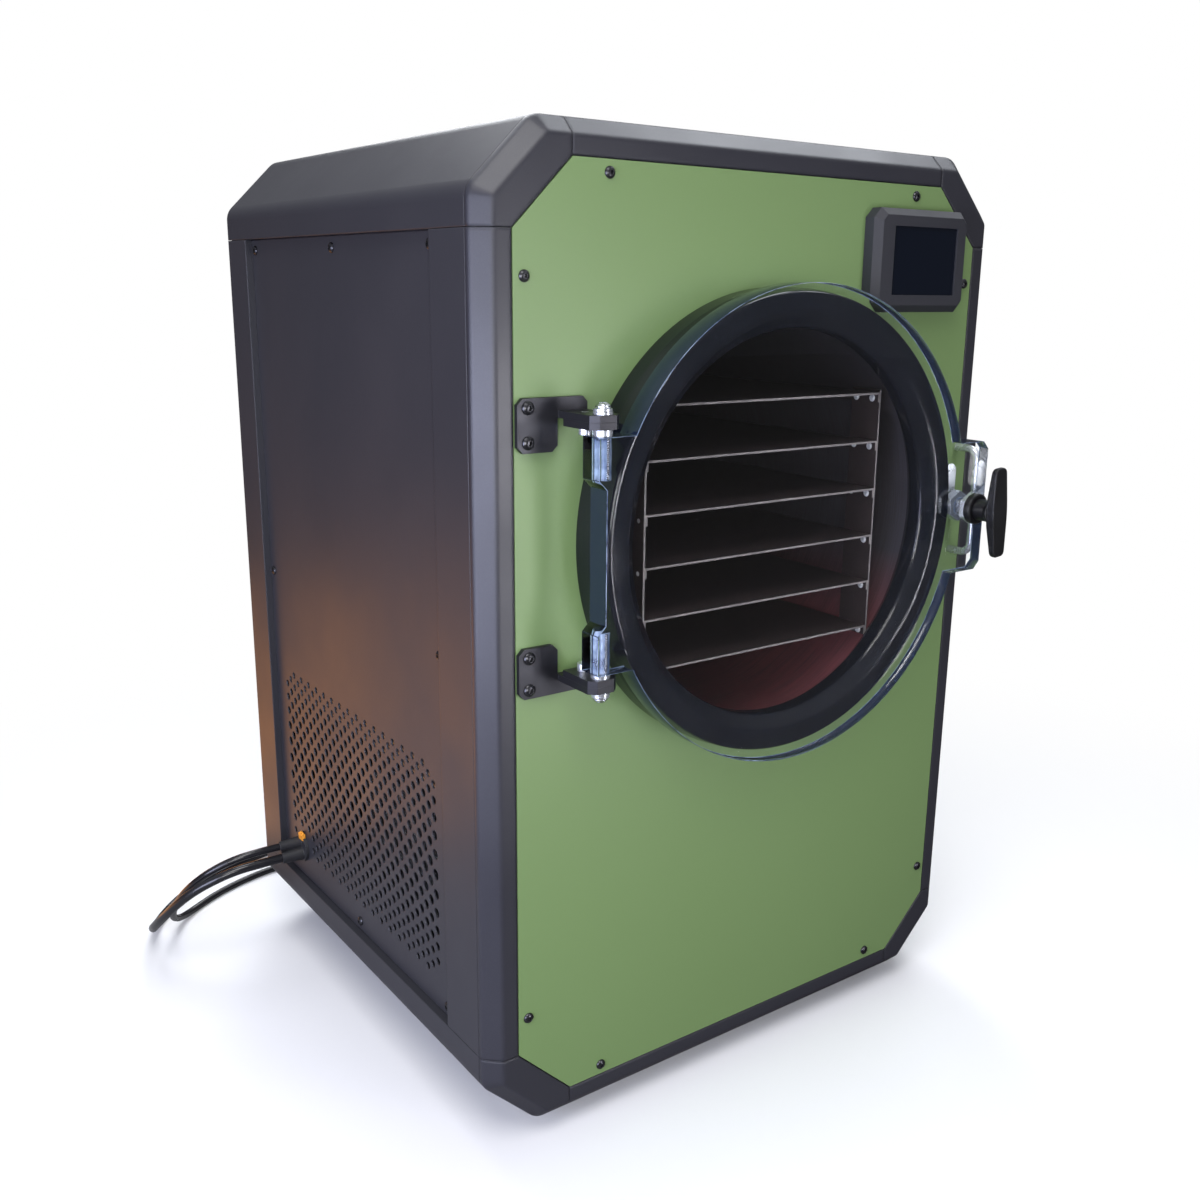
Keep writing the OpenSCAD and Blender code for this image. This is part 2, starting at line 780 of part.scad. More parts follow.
// The vacuum port: a tube from the chamber's back to a hose stub behind the cabinet.
module vacuum_port() {
    color("silver") placed() difference() {
        union() {
            rod_y(0, port_z, chamber_l, cab_d + port_out, port_d / 2, 64);
            rod_y(0, port_z, rear_panel_y, rear_panel_y + 2, port_d / 2 + 5, 6);
        }
        rod_y(0, port_z, chamber_l - 1, cab_d + port_out + 1, port_d / 2 - 2, 64);
    }
}

function shelf_z(i) = chamber_z + shelf_top - (i - 1) * shelf_pitch;

function strap_y() = [shelf_front, shelf_front + shelf_d - strap_w];

// Height of a shelf's turned-down sides, which is less where the round chamber leaves less room.
function lip(i) =
    min(shelf_lip, sqrt(pow(chamber_r - 0.5, 2) - pow(strap_x, 2)) + shelf_z(i) - shelf_t - chamber_z);

function rivets(i) = [
    for (y = strap_y(), d = [6, strap_w - 6]) [y + d, shelf_z(i) - shelf_t - lip(i) / 2]
];

module rivet_holes(i) {
    for (p = rivets(i)) translate([-cab_w / 2, p[0], p[1]]) rotate([0, 90, 0])
        cylinder(h = cab_w, d = rivet_d + 2 * fit, $fn = 24);
}

// A shelf: a plate with its two sides turned down.
module shelf(i) {
    color("dimgray") placed() difference() {
        along_y(shelf_front, shelf_front + shelf_d) translate([0, shelf_z(i)]) {
            translate([-shelf_w / 2, -shelf_t]) square([shelf_w, shelf_t]);
            for (x = [-shelf_w / 2, shelf_w / 2 - shelf_t])
                translate([x, -shelf_t - lip(i)]) square([shelf_t, lip(i) + eps]);
        }
        rivet_holes(i);
    }
}

// The four upright straps of the rack, cut to stand in the round chamber.
module rack_straps() {
    low = chamber_z - sqrt(pow(chamber_r - 0.3, 2) - pow(strap_x + strap_t, 2));
    color("dimgray") placed() both_sides() difference() {
        for (y = strap_y()) translate([strap_x, y, low]) cube([strap_t, strap_w, shelf_z(1) + 2 - low]);
        for (i = [1:shelf_count]) rivet_holes(i);
    }
}

// Rivets through the shelf sides and the straps, with their heads inside the shelves.
module shelf_rivets() {
    color("silver") placed() both_sides() for (i = [1:shelf_count], p = rivets(i))
        translate([strap_x - shelf_t, p[0], p[1]]) rotate([0, 90, 0]) {
            translate([0, 0, -0.6]) cylinder(h = 0.6 + shelf_t + strap_t, d = rivet_d, $fn = 24);
            translate([0, 0, -1.2]) cylinder(h = 1.2, r1 = 1.8, r2 = 2.8, $fn = 24);
        }
}

// The clear door: a disc with a hinge block on the left and a latch tab on the right.
module door_pane() {
    ear = notch_half + ear_notch;
    notch_x = hinge_edge - ear_notch;
    color("lightblue", 0.4) placed() difference() {
        union() {
            along_y(pane_front, pane_back) translate([0, chamber_z]) circle(pane_r, $fn = 180);
            along_y(pane_front, pane_back) translate([0, chamber_z]) polygon([
                [0, hinge_half], [-hinge_edge, hinge_half], [-hinge_edge, ear], [-notch_x, notch_half],
                [-notch_x, -notch_half], [-hinge_edge, -ear], [-hinge_edge, -hinge_half], [0, -hinge_half]
            ]);
            along_y(pane_front, pane_back) translate([0, chamber_z]) polygon([
                [0, tab_half], [tab_edge - tab_cut, tab_half], [tab_edge, tab_half - tab_cut],
                [tab_edge, tab_cut - tab_half], [tab_edge - tab_cut, -tab_half], [0, -tab_half]
            ]);
        }
        for (s = [-1, 1]) translate([-hinge_x, hinge_y, chamber_z + s * (hinge_half - (bolt_bite - 1) / 2)])
            cylinder(h = bolt_bite + 1, r = bolt_d / 2 + fit, center = true, $fn = 48);
        rod_y(latch_x, chamber_z, pane_front - 1, pane_back + 1, barrel_d / 2 + fit);
    }
}

// Runs its children above the chamber axis and again, mirrored, below it.
module above_and_below() {
    for (s = [0, 1]) translate([0, 0, chamber_z]) mirror([0, 0, s]) children();
}

// Outline of the hinge arm seen from above, from the depth y0 to its faceted end.
module arm_outline(y0) {
    half = arm_w / 2;
    cut = 4.7;
    translate([-hinge_x, 0]) polygon([
        [-half, y0], [-half, arm_end + cut], [cut - half, arm_end], [half - cut, arm_end],
        [half, arm_end + cut], [half, y0]
    ]);
}

function pad_left() = hinge_x + arm_w / 2 + pad_w + 0.5;

pad_top = hinge_top + 8.5;
pad_screw_d = 5;

function pad_screws() = [[7.7 - pad_left(), pad_top - 6], [7.7 - pad_left(), pad_top + 6.5 - pad_h]];

// The upper hinge bracket, from the chamber axis: a screwed pad and the arm that stands out of it.
module hinge_bracket() {
    left = -pad_left();
    right = arm_w / 2 - hinge_x;
    high = pad_top;
    low = high - pad_h;
    difference() {
        union() {
            along_y(-pad_t, 0) polygon([
                [left, low + 4], [left + 4, low], [left + pad_w - 4, low], [left + pad_w, low + 4],
                [left + pad_w, hinge_top - hinge_t], [right, hinge_top - hinge_t], [right, high - 3.5],
                [right - 3.5, high], [left + 4, high], [left, high - 4]
            ]);
            translate([0, 0, hinge_top - hinge_t]) linear_extrude(hinge_t) arm_outline(-eps);
        }
        translate([-hinge_x, hinge_y, hinge_top - hinge_t - 1])
            cylinder(h = hinge_t + 2, r = bolt_d / 2 + run_fit, $fn = 48);
        translate([-hinge_x, clamp_y, hinge_top - hinge_t - 1])
            cylinder(h = hinge_t + 2, r = 2.5 + fit, $fn = 32);
        for (p = pad_screws()) rod_y(p.x, p.y, -pad_t - 1, 1, pad_screw_d / 2 + 0.3, 32);
    }
}

clamp_y = -17;

module hinge_link() {
    translate([0, 0, link_z]) difference() {
        linear_extrude(hinge_t) arm_outline(-9);
        translate([-hinge_x, hinge_y, -1]) cylinder(h = hinge_t + 2, r = bolt_d / 2 + run_fit, $fn = 48);
        translate([-hinge_x, clamp_y, -1]) cylinder(h = hinge_t + 2, r = 2.5 + fit, $fn = 32);
    }
}

module hinge_bracket_upper() {
    color("black") placed() translate([0, 0, chamber_z]) hinge_bracket();
}

module hinge_bracket_lower() {
    color("black") placed() translate([0, 0, chamber_z]) mirror([0, 0, 1]) hinge_bracket();
}

module hinge_links() {
    color("black") placed() above_and_below() hinge_link();
}

// The screws of the bracket pads.
module hinge_screws() {
    color("black") placed() above_and_below() for (p = pad_screws())
        translate([p.x, -pad_t, p.y]) rotate([-90, 0, 0])
            button_screw(pad_screw_d, pad_t + panel_t + ledge_t, 8.6, 2.5);
}

bolt_head_d = 9.8;
bolt_washers = 3.8;

// The two hinge bolts: threaded into the door's ears and free to turn in the arms.
module hinge_bolts() {
    color("silver") placed() above_and_below() translate([-hinge_x, hinge_y, 0])
        translate([0, 0, hinge_top + bolt_washers]) rotate([180, 0, 0])
            button_screw(bolt_d, hinge_top + bolt_washers - hinge_half + bolt_bite - 1, bolt_head_d, 3.7);
}

// The washers of the hinge bolts and the cap screws that clamp each link to its arm.
module hinge_hardware() {
    color("silver") placed() above_and_below() {
        translate([-hinge_x, hinge_y, 0]) difference() {
            union() {
                translate([0, 0, hinge_top + 0.1]) cylinder(h = 1.6, r = 6.3, $fn = 48);
                translate([0, 0, hinge_top + 1.9]) cylinder(h = bolt_washers - 2, r = 5.9, $fn = 48);
                translate([0, 0, hinge_half + 0.1]) cylinder(h = washer_gap - 0.2, r = 6.3, $fn = 48);
            }
            cylinder(h = 2 * hinge_top, r = bolt_d / 2 + 0.2, $fn = 48);
        }
        translate([-hinge_x, clamp_y, link_z]) difference() {
            union() {
                cylinder(h = 2 * hinge_t, d = 5, $fn = 32);
                translate([0, 0, -5]) cylinder(h = 5, d = 8.5, $fn = 48);
            }
            translate([0, 0, -6]) cylinder(h = 4, d = 4.6, $fn = 6);
        }
    }
}

// The latch housing: a collar in front of its nut and a barrel that goes through the door.
module latch_housing() {
    color("black") placed() difference() {
        union() {
            translate([latch_x, pane_front - front_nut_t, chamber_z]) rotate([90, 0, 0]) {
                cylinder(h = collar_t - 1, r = collar_r, $fn = 64);
                translate([0, 0, collar_t - 1 - eps])
                    cylinder(h = 1 + eps, r1 = collar_r, r2 = collar_r - 1, $fn = 64);
            }
            rod_y(latch_x, chamber_z, pane_front - front_nut_t - eps, pane_back + 10, barrel_d / 2);
        }
        rod_y(latch_x, chamber_z, collar_front - 1, pane_back + 11, spindle_d / 2 + run_fit);
    }
}

module hex_nut(length) {
    difference() {
        rotate([0, 0, 30]) cylinder(h = length, d = nut_flats / cos(30), $fn = 6);
        translate([0, 0, -1]) cylinder(h = length + 2, d = barrel_d + 2 * fit, $fn = 48);
    }
}

// The latch's two nuts, one on each face of the door.
module latch_nut() {
    color("silver") placed() translate([latch_x, 0, chamber_z]) rotate([-90, 0, 0]) {
        translate([0, 0, pane_back]) hex_nut(7);
        translate([0, 0, pane_front - front_nut_t]) hex_nut(front_nut_t);
    }
}

// The T-handle: a round neck that flares into a bar, deepest and widest at its middle.
module latch_handle() {
    neck = collar_front - 0.3;
    tip = pane_front - handle_reach;
    half = handle_l / 2;
    wide = handle_w / 2;
    color("black") placed() translate([latch_x, 0, chamber_z]) rotate([0, -handle_turn, 0]) difference() {
        union() {
            rod_y(0, 0, tip + 3, neck, 8.3, 64);
            translate([0, tip + 6, 0]) rotate([-90, 0, 0]) cylinder(h = 4, r1 = 10.6, r2 = 8.3, $fn = 64);
            intersection() {
                along_x(-wide - 1, wide + 1) polygon(rounded([
                    [tip, -half], [tip + 3.8, -half], [tip + 6.6, -10], [tip + 6.6, 10], [tip + 3.8, half],
                    [tip, half]
                ], [1.8, 1.8, 14, 14, 1.8, 1.8]));
                along_y(tip - 1, tip + 8) polygon(rounded([
                    [-6, -half], [6, -half], [wide, 0], [6, half], [-6, half], [-wide, 0]
                ], [5, 5, 150, 5, 5, 150], 7));
            }
        }
        rod_y(0, 0, collar_front - 9.2, neck + 1, spindle_d / 2 + fit);
    }
}

// The cam and its spindle. The flat finger stands up when the handle is upright, and turns behind
// the striker.
module latch_cam() {
    y0 = pane_back + 11;
    color("silver") placed() {
        rod_y(latch_x, chamber_z, collar_front - 9, y0 + 5, spindle_d / 2);
        rod_y(latch_x, chamber_z, y0, y0 + 3, 9);
        translate([latch_x - 6.5, y0, chamber_z]) cube([13, 3, cam_l - 6.5]);
        rod_y(latch_x, chamber_z + cam_l - 6.5, y0, y0 + 3, 6.5);
    }
}

// The striker: a round rod bent to a U, with a nut behind the frame's ledge on each leg.
module striker() {
    bend = 9;
    bar_y = pane_back + 6;
    nut_y = panel_t + ledge_t;
    color("silver") placed() above_and_below() {
        translate([striker_x, bar_y + bend, striker_half - bend]) rotate([90, 0, -90])
            rotate_extrude(angle = 90, $fn = 48) translate([bend, 0]) circle(d = striker_d, $fn = 24);
        translate([striker_x, bar_y, -eps])
            cylinder(h = striker_half - bend + 2 * eps, d = striker_d, $fn = 24);
        rod_y(striker_x, striker_half, bar_y + bend - eps, nut_y + 7, striker_d / 2, 24);
        rod_y(striker_x, striker_half, nut_y, nut_y + 5, 5.5, 6);
    }
}

// Outline of the display housing, set in by d.
module display_outline(d = 0) {
    w = display_w / 2 - d;
    h = display_h / 2 - d;
    cut = 7 - d * (2 - sqrt(2));
    translate([display_x, chamber_z + display_z]) polygon([
        [cut - w, -h], [w - cut, -h], [w, cut - h], [w, h - cut],
        [w - cut, h], [cut - w, h], [-w, h - cut], [-w, cut - h]
    ]);
}

screen_shift = 1.7;

module display_housing() {
    bevel = display_bevel;
    sx = display_x + screen_shift - screen_w / 2;
    sz = chamber_z + display_z - screen_h / 2;
    color("black") placed() difference() {
        union() {
            along_y(bevel - display_t, 0) display_outline();
            hull() {
                along_y(bevel - display_t, bevel - display_t + 1) display_outline();
                along_y(-display_t, 1 - display_t) display_outline(bevel);
            }
        }
        translate([sx, -display_t - 1, sz]) cube([screen_w, display_t - 1, screen_h]);
        along_y(1.5 - display_t, 1) display_outline(bevel + 2.4);
    }
}

module display_screen() {
    color("black") placed()
        translate([display_x + screen_shift, 3 - display_t, chamber_z + display_z])
            cube([screen_w + 6, 3, screen_h + 6], center = true);
}

module control_board() {
    z = chamber_z + display_z;
    color("darkgreen") placed() {
        translate([display_x - 44, 16, z - 25]) cube([72, 1.6, 50]);
        for (x = [-34, -12, 10]) translate([display_x + x, 17.6 - eps, z - 15]) cube([15, 14, 19]);
        for (x = [-39, 23], dz = [-20, 20]) rod_y(display_x + x, z + dz, panel_t, 16 + eps, 3, 24);
    }
}

compressor_at = [100, 230];

// The hermetic compressor on its base plate, with two tube stubs and a terminal box.
module compressor() {
    r = compressor_r;
    h = compressor_h;
    base = sheet + 6;
    color("black") placed() translate([compressor_at.x, compressor_at.y, base]) {
        rotate_extrude($fn = 96) polygon(rounded([
            [0, 6], [r - 4, 6], [r, 14], [r, h * 0.42], [r + 3, h * 0.42], [r + 3, h * 0.46],
            [r, h * 0.46], [r, h * 0.7], [r * 0.7, h], [0, h]
        ], [0, 5, 0, 0, 0, 0, 0, 15, 12, 0]));
        translate([-r - 12, -r * 0.6, 0]) cube([2 * r + 24, r * 1.2, 6 + eps]);
        translate([r - 6, -18, h * 0.5]) cube([22, 36, 30]);
        translate([-r + 8, 0, h * 0.6]) cylinder(h = h * 0.55, r = 4, $fn = 24);
        translate([0, r - 14, h * 0.6]) cylinder(h = h * 0.5, r = 4, $fn = 24);
        for (x = [-1, 1], y = [-1, 1])
            translate([x * (r + 5), y * r * 0.45, -6]) cylinder(h = 6 + eps, r = 6, $fn = 24);
    }
}

condenser_x = -cab_w / 2 + recess + 50;

// The condenser inside the left vents: finned plates on six through tubes.
module condenser() {
    y0 = 110;
    w = 200;
    fins = 20;
    pitch = w / (fins - 1);
    color("silver") placed() translate([condenser_x, y0, sheet]) {
        for (i = [0:fins - 1])
            translate([0, i * pitch, 0]) cube([22, i % (fins - 1) == 0 ? 1.5 : 0.8, condenser_h]);
        for (k = [0:5]) translate([11, -8, (k + 0.5) * condenser_h / 6]) rotate([-90, 0, 0])
            cylinder(h = w + 16, r = 4, $fn = 24);
    }
}

fan_at = [condenser_x + 52, 210, 96];

// The fan motor on a yoke across its square shroud, which stands on the base pan.
module fan_motor() {
    side = 2 * fan_r + 16;
    high = fan_at.z + side / 2 - sheet;
    color("dimgray") placed() translate([fan_at.x, fan_at.y, 0]) difference() {
        union() {
            difference() {
                translate([-14, -side / 2, sheet]) cube([26, side, high]);
                translate([-13, -side / 2 + 2, sheet - 1]) cube([26, side - 4, high - 1]);
                translate([-15, 0, fan_at.z]) rotate([0, 90, 0]) cylinder(h = 4, r = fan_r + 3, $fn = 96);
            }
            translate([9, -side / 2, fan_at.z - 5]) cube([3, side, 10]);
            translate([9, -20, fan_at.z - 5]) cube([10, 40, 10]);
            translate([18, 0, fan_at.z]) rotate([0, 90, 0]) cylinder(h = 34, r = 22, $fn = 64);
        }
        translate([0, 0, fan_at.z]) rotate([0, 90, 0]) {
            cylinder(h = 18, r = 6, $fn = 32);
            cylinder(h = 35, r = 3 + run_fit, $fn = 32);
        }
    }
}

module fan_rotor() {
    color("gray") placed() translate([fan_at.x, fan_at.y, fan_at.z]) rotate([0, 90, 0]) {
        translate([0, 0, -9]) cylinder(h = 14, r = 17, $fn = 64);
        translate([0, 0, 4]) cylinder(h = 29, r = 3, $fn = 32);
        for (k = [0:4]) rotate([0, 0, 72 * k]) translate([14, 0, -2]) rotate([32, 0, 0])
            translate([0, -13, -0.6]) cube([fan_r - 16, 26, 1.2]);
    }
}

switch_x = -150;
switch_z = 120;
switch_w = 22;
switch_h = 30;
switch_tilt = 8;

// The switch's bezel and box, with holes in its cheeks for the rocker's pivots.
module switch_bezel() {
    color("black") placed() translate([switch_x, rear_panel_y, switch_z]) difference() {
        union() {
            translate([-switch_w / 2 - 2, 0, -switch_h / 2 - 2]) cube([switch_w + 4, 2, switch_h + 4]);
            translate([0.2 - switch_w / 2, -18, 0.2 - switch_h / 2])
                cube([switch_w - 0.4, 19, switch_h - 0.4]);
        }
        translate([1.8 - switch_w / 2, -16.5, 1.5 - switch_h / 2]) cube([switch_w - 3.6, 20, switch_h - 3]);
        translate([-10.3, -2.5, 0]) rotate([0, 90, 0]) cylinder(h = 20.6, r = 1.5 + run_fit, $fn = 24);
    }
}

// The rocker, tipped to its off side.
module switch_rocker() {
    half = switch_w / 2 - 2.3;
    color("black") placed() translate([switch_x, rear_panel_y - 2.5, switch_z]) rotate([switch_tilt, 0, 0]) {
        along_x(-half, half) polygon([[-3, -11.6], [4, -12.2], [2.4, 0], [4, 12.2], [-3, 11.6]]);
        translate([-10.1, 0, 0]) rotate([0, 90, 0]) cylinder(h = 20.2, r = 1.5, $fn = 24);
    }
}

// The cord grommet: a flanged bush with two tapered sleeves.
module cable_gland() {
    color("black") placed() translate([-panel_x, gland_y, gland_z]) rotate([0, -90, 0]) {
        cylinder(h = 3, r = 13, $fn = 48);
        translate([0, 0, -sheet - eps]) cylinder(h = sheet + 2 * eps, r = 10.9, $fn = 48);
        translate([0, 0, -sheet - 2]) cylinder(h = 2, r = gland_r, $fn = 48);
        translate([-4.5, -2.5, 0]) cylinder(h = gland_out, r1 = 6.5, r2 = mains_d / 2 + 1.2, $fn = 32);
        translate([4.5, 2.5, 0]) cylinder(h = gland_out, r1 = 5.5, r2 = pump_d / 2 + 1.2, $fn = 32);
    }
}

// Routes of the two cords: x and y from the grommet's mouth, and the height above the floor. They
// leave the grommet, drop to the floor and run round behind the cabinet to their coils.
mains_route = [
    [0, -2.5, 102], [-21, -2.5, 102], [-41, 0, 100], [-59, 5, 94], [-74, 14, 84], [-85, 27, 70],
    [-92, 43, 54], [-95, 62, 38], [-94, 82, 24], [-89, 103, 13], [-80, 123, 6], [-67, 142, 4],
    [-50, 160, 4], [-29, 177, 4], [-5, 191, 4], [21, 202, 4], [49, 210, 4], [79, 215, 4],
    [110, 217, 4], [141, 216, 4], [171, 217.5, 4], [201, 217.8, 4], [231, 217, 4],
    [261, 214.3, 4], [288, 209.8, 4], [313.3, 204.5, 4]
];
pump_route = [
    [0, 2.5, 111], [-20, 2.5, 111], [-39, 6, 108], [-55, 12, 101], [-67, 22, 90], [-75, 35, 76],
    [-79, 50, 60], [-79, 66, 45], [-76, 82, 31], [-70, 98, 19], [-61, 113, 10], [-49, 127, 5],
    [-34, 139, 3.25], [-16, 150, 3.25], [3, 159, 3.25], [23, 166, 3.25], [43, 171, 3.25],
    [63, 173, 3.25],
    [83, 173.4, 3.25], [103, 173.2, 3.25], [123, 172.6, 3.25], [143, 171.8, 3.25],
    [163, 171, 3.25], [183, 170.4, 3.25], [201, 170.25, 3.25]
];

cord_at = [front_x - panel_x - gland_out, front_y + gland_y];

// A route with its start at the grommet's real height and its end on the floor.
function cord_path(route, r) =
    let (k = (gland_z + foot_h - 4.5 - r) / (102 - r))
    [for (p = route) [cord_at.x + p.x, cord_at.y + p.y, r + (p.z - r) * k]];

// The ring of points of a tube of radius r around point i of a route.
function tube_ring(route, i, r, n) =
    let (a = route[max(i - 1, 0)], b = route[min(i + 1, len(route) - 1)], t = unit(b - a))
    let (s = unit(cross(t, [0, 0, 1])), u = cross(s, t))
    [for (k = [0:n - 1]) route[i] + r * (cos(360 * k / n) * s + sin(360 * k / n) * u)];

module tube(route, r) {
    n = 10;
    m = len(route);
    polyhedron(
        points = [for (i = [0:m - 1]) each tube_ring(route, i, r, n)],
        faces = concat(
            [[for (k = [0:n - 1]) k]],
            [for (i = [0:m - 2], k = [0:n - 1])
                [i * n + k, (i + 1) * n + k, (i + 1) * n + (k + 1) % n, i * n + (k + 1) % n]],
            [[for (k = [n - 1:-1:0]) (m - 1) * n + k]]
        )
    );
}

// A coil of two turns side by side, two turns high, at the point at from the grommet's mouth.
module coil(at, d, mid_r) {
    translate([cord_at.x + at.x, cord_at.y + at.y, 0]) rotate_extrude($fn = 64) translate([mid_r - d, 0])
        square([2 * d, 2 * d]);
}

mains_coil_at = [301, 155];
pump_coil_at = [201, 132];
mains_tail = [
    [314.2, 204.26, 12], [325.5, 201.6, 11.4], [337.4, 199.4, 9.8], [349.3, 198, 7.4],
    [361.3, 197.4, 5.4], [373.3, 197.3, 4.2], [385.3, 197.3, 4], [396, 197.3, 4.9],
    [406, 197.3, 6.9], [416, 197.3, 9], [425, 197.3, 10]
];
pump_tail = [
    [201, 93.75, 9.75], [190, 94, 9.3], [179, 94.9, 7.7], [168, 96.6, 5.6], [157, 98.8, 4],
    [147, 100.6, 3.4], [137, 101.6, 4.2], [128, 101.8, 6.2], [120, 101.8, 8.2], [112, 101.8, 9]
];

module mains_cord() {
    color("black") {
        tube(cord_path(mains_route, mains_d / 2), mains_d / 2);
        tube([for (p = mains_tail) [cord_at.x + p.x, cord_at.y + p.y, p.z]], mains_d / 2);
    }
}

module mains_coil() {
    color("black") coil(mains_coil_at, mains_d, 47);
}

module mains_plug() {
    color("black") translate([cord_at.x + 425, cord_at.y + 197.3, 0]) rotate([0, 0, -90]) {
        translate([-13, 8, 0]) cube([26, 30, 20]);
        translate([0, 0, 10]) rotate([-90, 0, 0]) cylinder(h = 9, r1 = 5.5, r2 = 8, $fn = 32);
        for (x = [-7, 5.5]) translate([x, 37, 4]) cube([1.5, 19, 6.5]);
        translate([0, 37, 15]) rotate([-90, 0, 0]) cylinder(h = 20, r = 2.4, $fn = 24);
    }
}

module pump_cord() {
    color("black") {
        tube(cord_path(pump_route, pump_d / 2), pump_d / 2);
        tube([for (p = pump_tail) [cord_at.x + p.x, cord_at.y + p.y, p.z]], pump_d / 2);
    }
}

module pump_coil() {
    color("black") coil(pump_coil_at, pump_d, 35);
}

module pump_connector() {
    color("black") translate([cord_at.x + 112, cord_at.y + 101.8, 0]) rotate([0, 0, 90]) difference() {
        union() {
            translate([-14, 8, 0]) cube([28, 30, 18]);
            translate([0, 0, 9]) rotate([-90, 0, 0]) cylinder(h = 9, r1 = 4.8, r2 = 7, $fn = 32);
        }
        for (x = [-8, -1, 6]) translate([x, 24, x == -1 ? 10 : 5]) cube([2, 15, 4]);
    }
}

top_hood();
base_pan();
front_post_left();
front_post_right();
rear_post_left();
rear_post_right();
side_panel_left();
side_panel_right();
frame_rail_top();
frame_rail_bottom();
frame_rail_left();
frame_rail_right();
frame_corners();
front_panel();
front_panel_screws();
cabinet_screws();
rear_panel();
feet();
chamber_deck();
chamber_drum();
door_gasket();
evaporator_coil();
insulation_jacket();
vacuum_port();
rack_straps();
shelf_rivets();
for (i = [1:shelf_count]) shelf(i);
hinge_bracket_upper();
hinge_bracket_lower();
hinge_links();
hinge_screws();
door_pane();
hinge_bolts();
hinge_hardware();
latch_housing();
latch_nut();
latch_handle();
latch_cam();
striker();
display_housing();
display_screen();
control_board();
compressor();
condenser();
fan_motor();
fan_rotor();
switch_bezel();
switch_rocker();
cable_gland();
mains_cord();
mains_coil();
mains_plug();
pump_cord();
pump_coil();
pump_connector();
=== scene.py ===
import math

import bpy
from mathutils import Matrix, Vector


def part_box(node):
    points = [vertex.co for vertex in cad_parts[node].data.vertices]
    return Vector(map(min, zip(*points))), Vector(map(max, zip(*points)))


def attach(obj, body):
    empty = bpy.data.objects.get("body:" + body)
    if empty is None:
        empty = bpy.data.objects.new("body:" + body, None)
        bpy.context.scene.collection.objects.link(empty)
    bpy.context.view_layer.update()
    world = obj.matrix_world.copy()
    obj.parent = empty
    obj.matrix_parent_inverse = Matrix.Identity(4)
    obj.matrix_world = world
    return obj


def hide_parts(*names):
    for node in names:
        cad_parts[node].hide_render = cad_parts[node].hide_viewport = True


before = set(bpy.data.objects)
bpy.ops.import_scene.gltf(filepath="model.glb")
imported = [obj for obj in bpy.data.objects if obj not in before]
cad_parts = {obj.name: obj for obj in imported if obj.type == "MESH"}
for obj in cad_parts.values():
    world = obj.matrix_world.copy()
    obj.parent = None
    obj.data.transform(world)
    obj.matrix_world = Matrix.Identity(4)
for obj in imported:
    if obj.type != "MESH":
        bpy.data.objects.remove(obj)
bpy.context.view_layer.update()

# Camera: stands at the front left, a little above the door, and looks down at the cabinet.
yaw, pitch, roll = math.radians(36.33), math.radians(14.39), math.radians(0.786)
ahead = Vector(
    (
        math.sin(yaw) * math.cos(pitch),
        math.cos(yaw) * math.cos(pitch),
        -math.sin(pitch),
    )
)
level = Vector((math.cos(yaw), -math.sin(yaw), 0))
upright = level.cross(ahead)
right = level * math.cos(roll) + upright * math.sin(roll)
up = upright * math.cos(roll) - level * math.sin(roll)
camera_data = bpy.data.cameras.new("camera")
camera_data.lens = 36.606
camera_data.sensor_width = 36
camera_data.shift_x = -0.0175
camera_data.shift_y = -0.0013
camera = bpy.data.objects.new("camera", camera_data)
camera.matrix_world = Matrix.Translation((-0.5940, -0.8296, 0.6042)) @ Matrix(
    (right, up, -ahead)
).transposed().to_4x4()
bpy.context.collection.objects.link(camera)
bpy.context.scene.camera = camera
bpy.context.scene.view_settings.view_transform = "Standard"

# Cord finishes: smooth extruded PVC sheath, glossy, with faint waviness along its length, and
# the moulded rubber of the plug, the connector and the grommet.


def finish(name, colour, roughness, metallic=0.0):
    material = bpy.data.materials.new(name)
    material.use_nodes = True
    shader = material.node_tree.nodes["Principled BSDF"]
    shader.inputs["Base Color"].default_value = (*colour, 1)
    shader.inputs["Roughness"].default_value = roughness
    shader.inputs["Metallic"].default_value = metallic
    return material


def shader_of(material):
    return material.node_tree.nodes["Principled BSDF"]


def cloud(material, scale, detail=2.0, stretch=(1, 1, 1)):
    """Noise in the piece's own place: scale is in cells a metre."""
    nodes, links = material.node_tree.nodes, material.node_tree.links
    place = nodes.new("ShaderNodeTexCoord")
    turn = nodes.new("ShaderNodeMapping")
    turn.inputs["Scale"].default_value = stretch
    noise = nodes.new("ShaderNodeTexNoise")
    noise.inputs["Scale"].default_value = scale
    noise.inputs["Detail"].default_value = detail
    links.new(place.outputs["Object"], turn.inputs["Vector"])
    links.new(turn.outputs["Vector"], noise.inputs["Vector"])
    return noise.outputs["Fac"]


def spread(material, value, low, high, to_low=0.0, to_high=1.0):
    """Stretches the part of a value between low and high over to_low to to_high."""
    node = material.node_tree.nodes.new("ShaderNodeMapRange")
    node.inputs["From Min"].default_value = low
    node.inputs["From Max"].default_value = high
    node.inputs["To Min"].default_value = to_low
    node.inputs["To Max"].default_value = to_high
    material.node_tree.links.new(value, node.inputs["Value"])
    return node.outputs["Result"]


def relief(material, height, depth, strength=1.0):
    """Bump of that depth in metres, laid over any bump that the finish has already."""
    nodes, links = material.node_tree.nodes, material.node_tree.links
    shader = shader_of(material)
    bump = nodes.new("ShaderNodeBump")
    bump.inputs["Distance"].default_value = depth
    bump.inputs["Strength"].default_value = strength
    links.new(height, bump.inputs["Height"])
    if shader.inputs["Normal"].is_linked:
        links.new(shader.inputs["Normal"].links[0].from_socket, bump.inputs["Normal"])
    links.new(bump.outputs["Normal"], shader.inputs["Normal"])


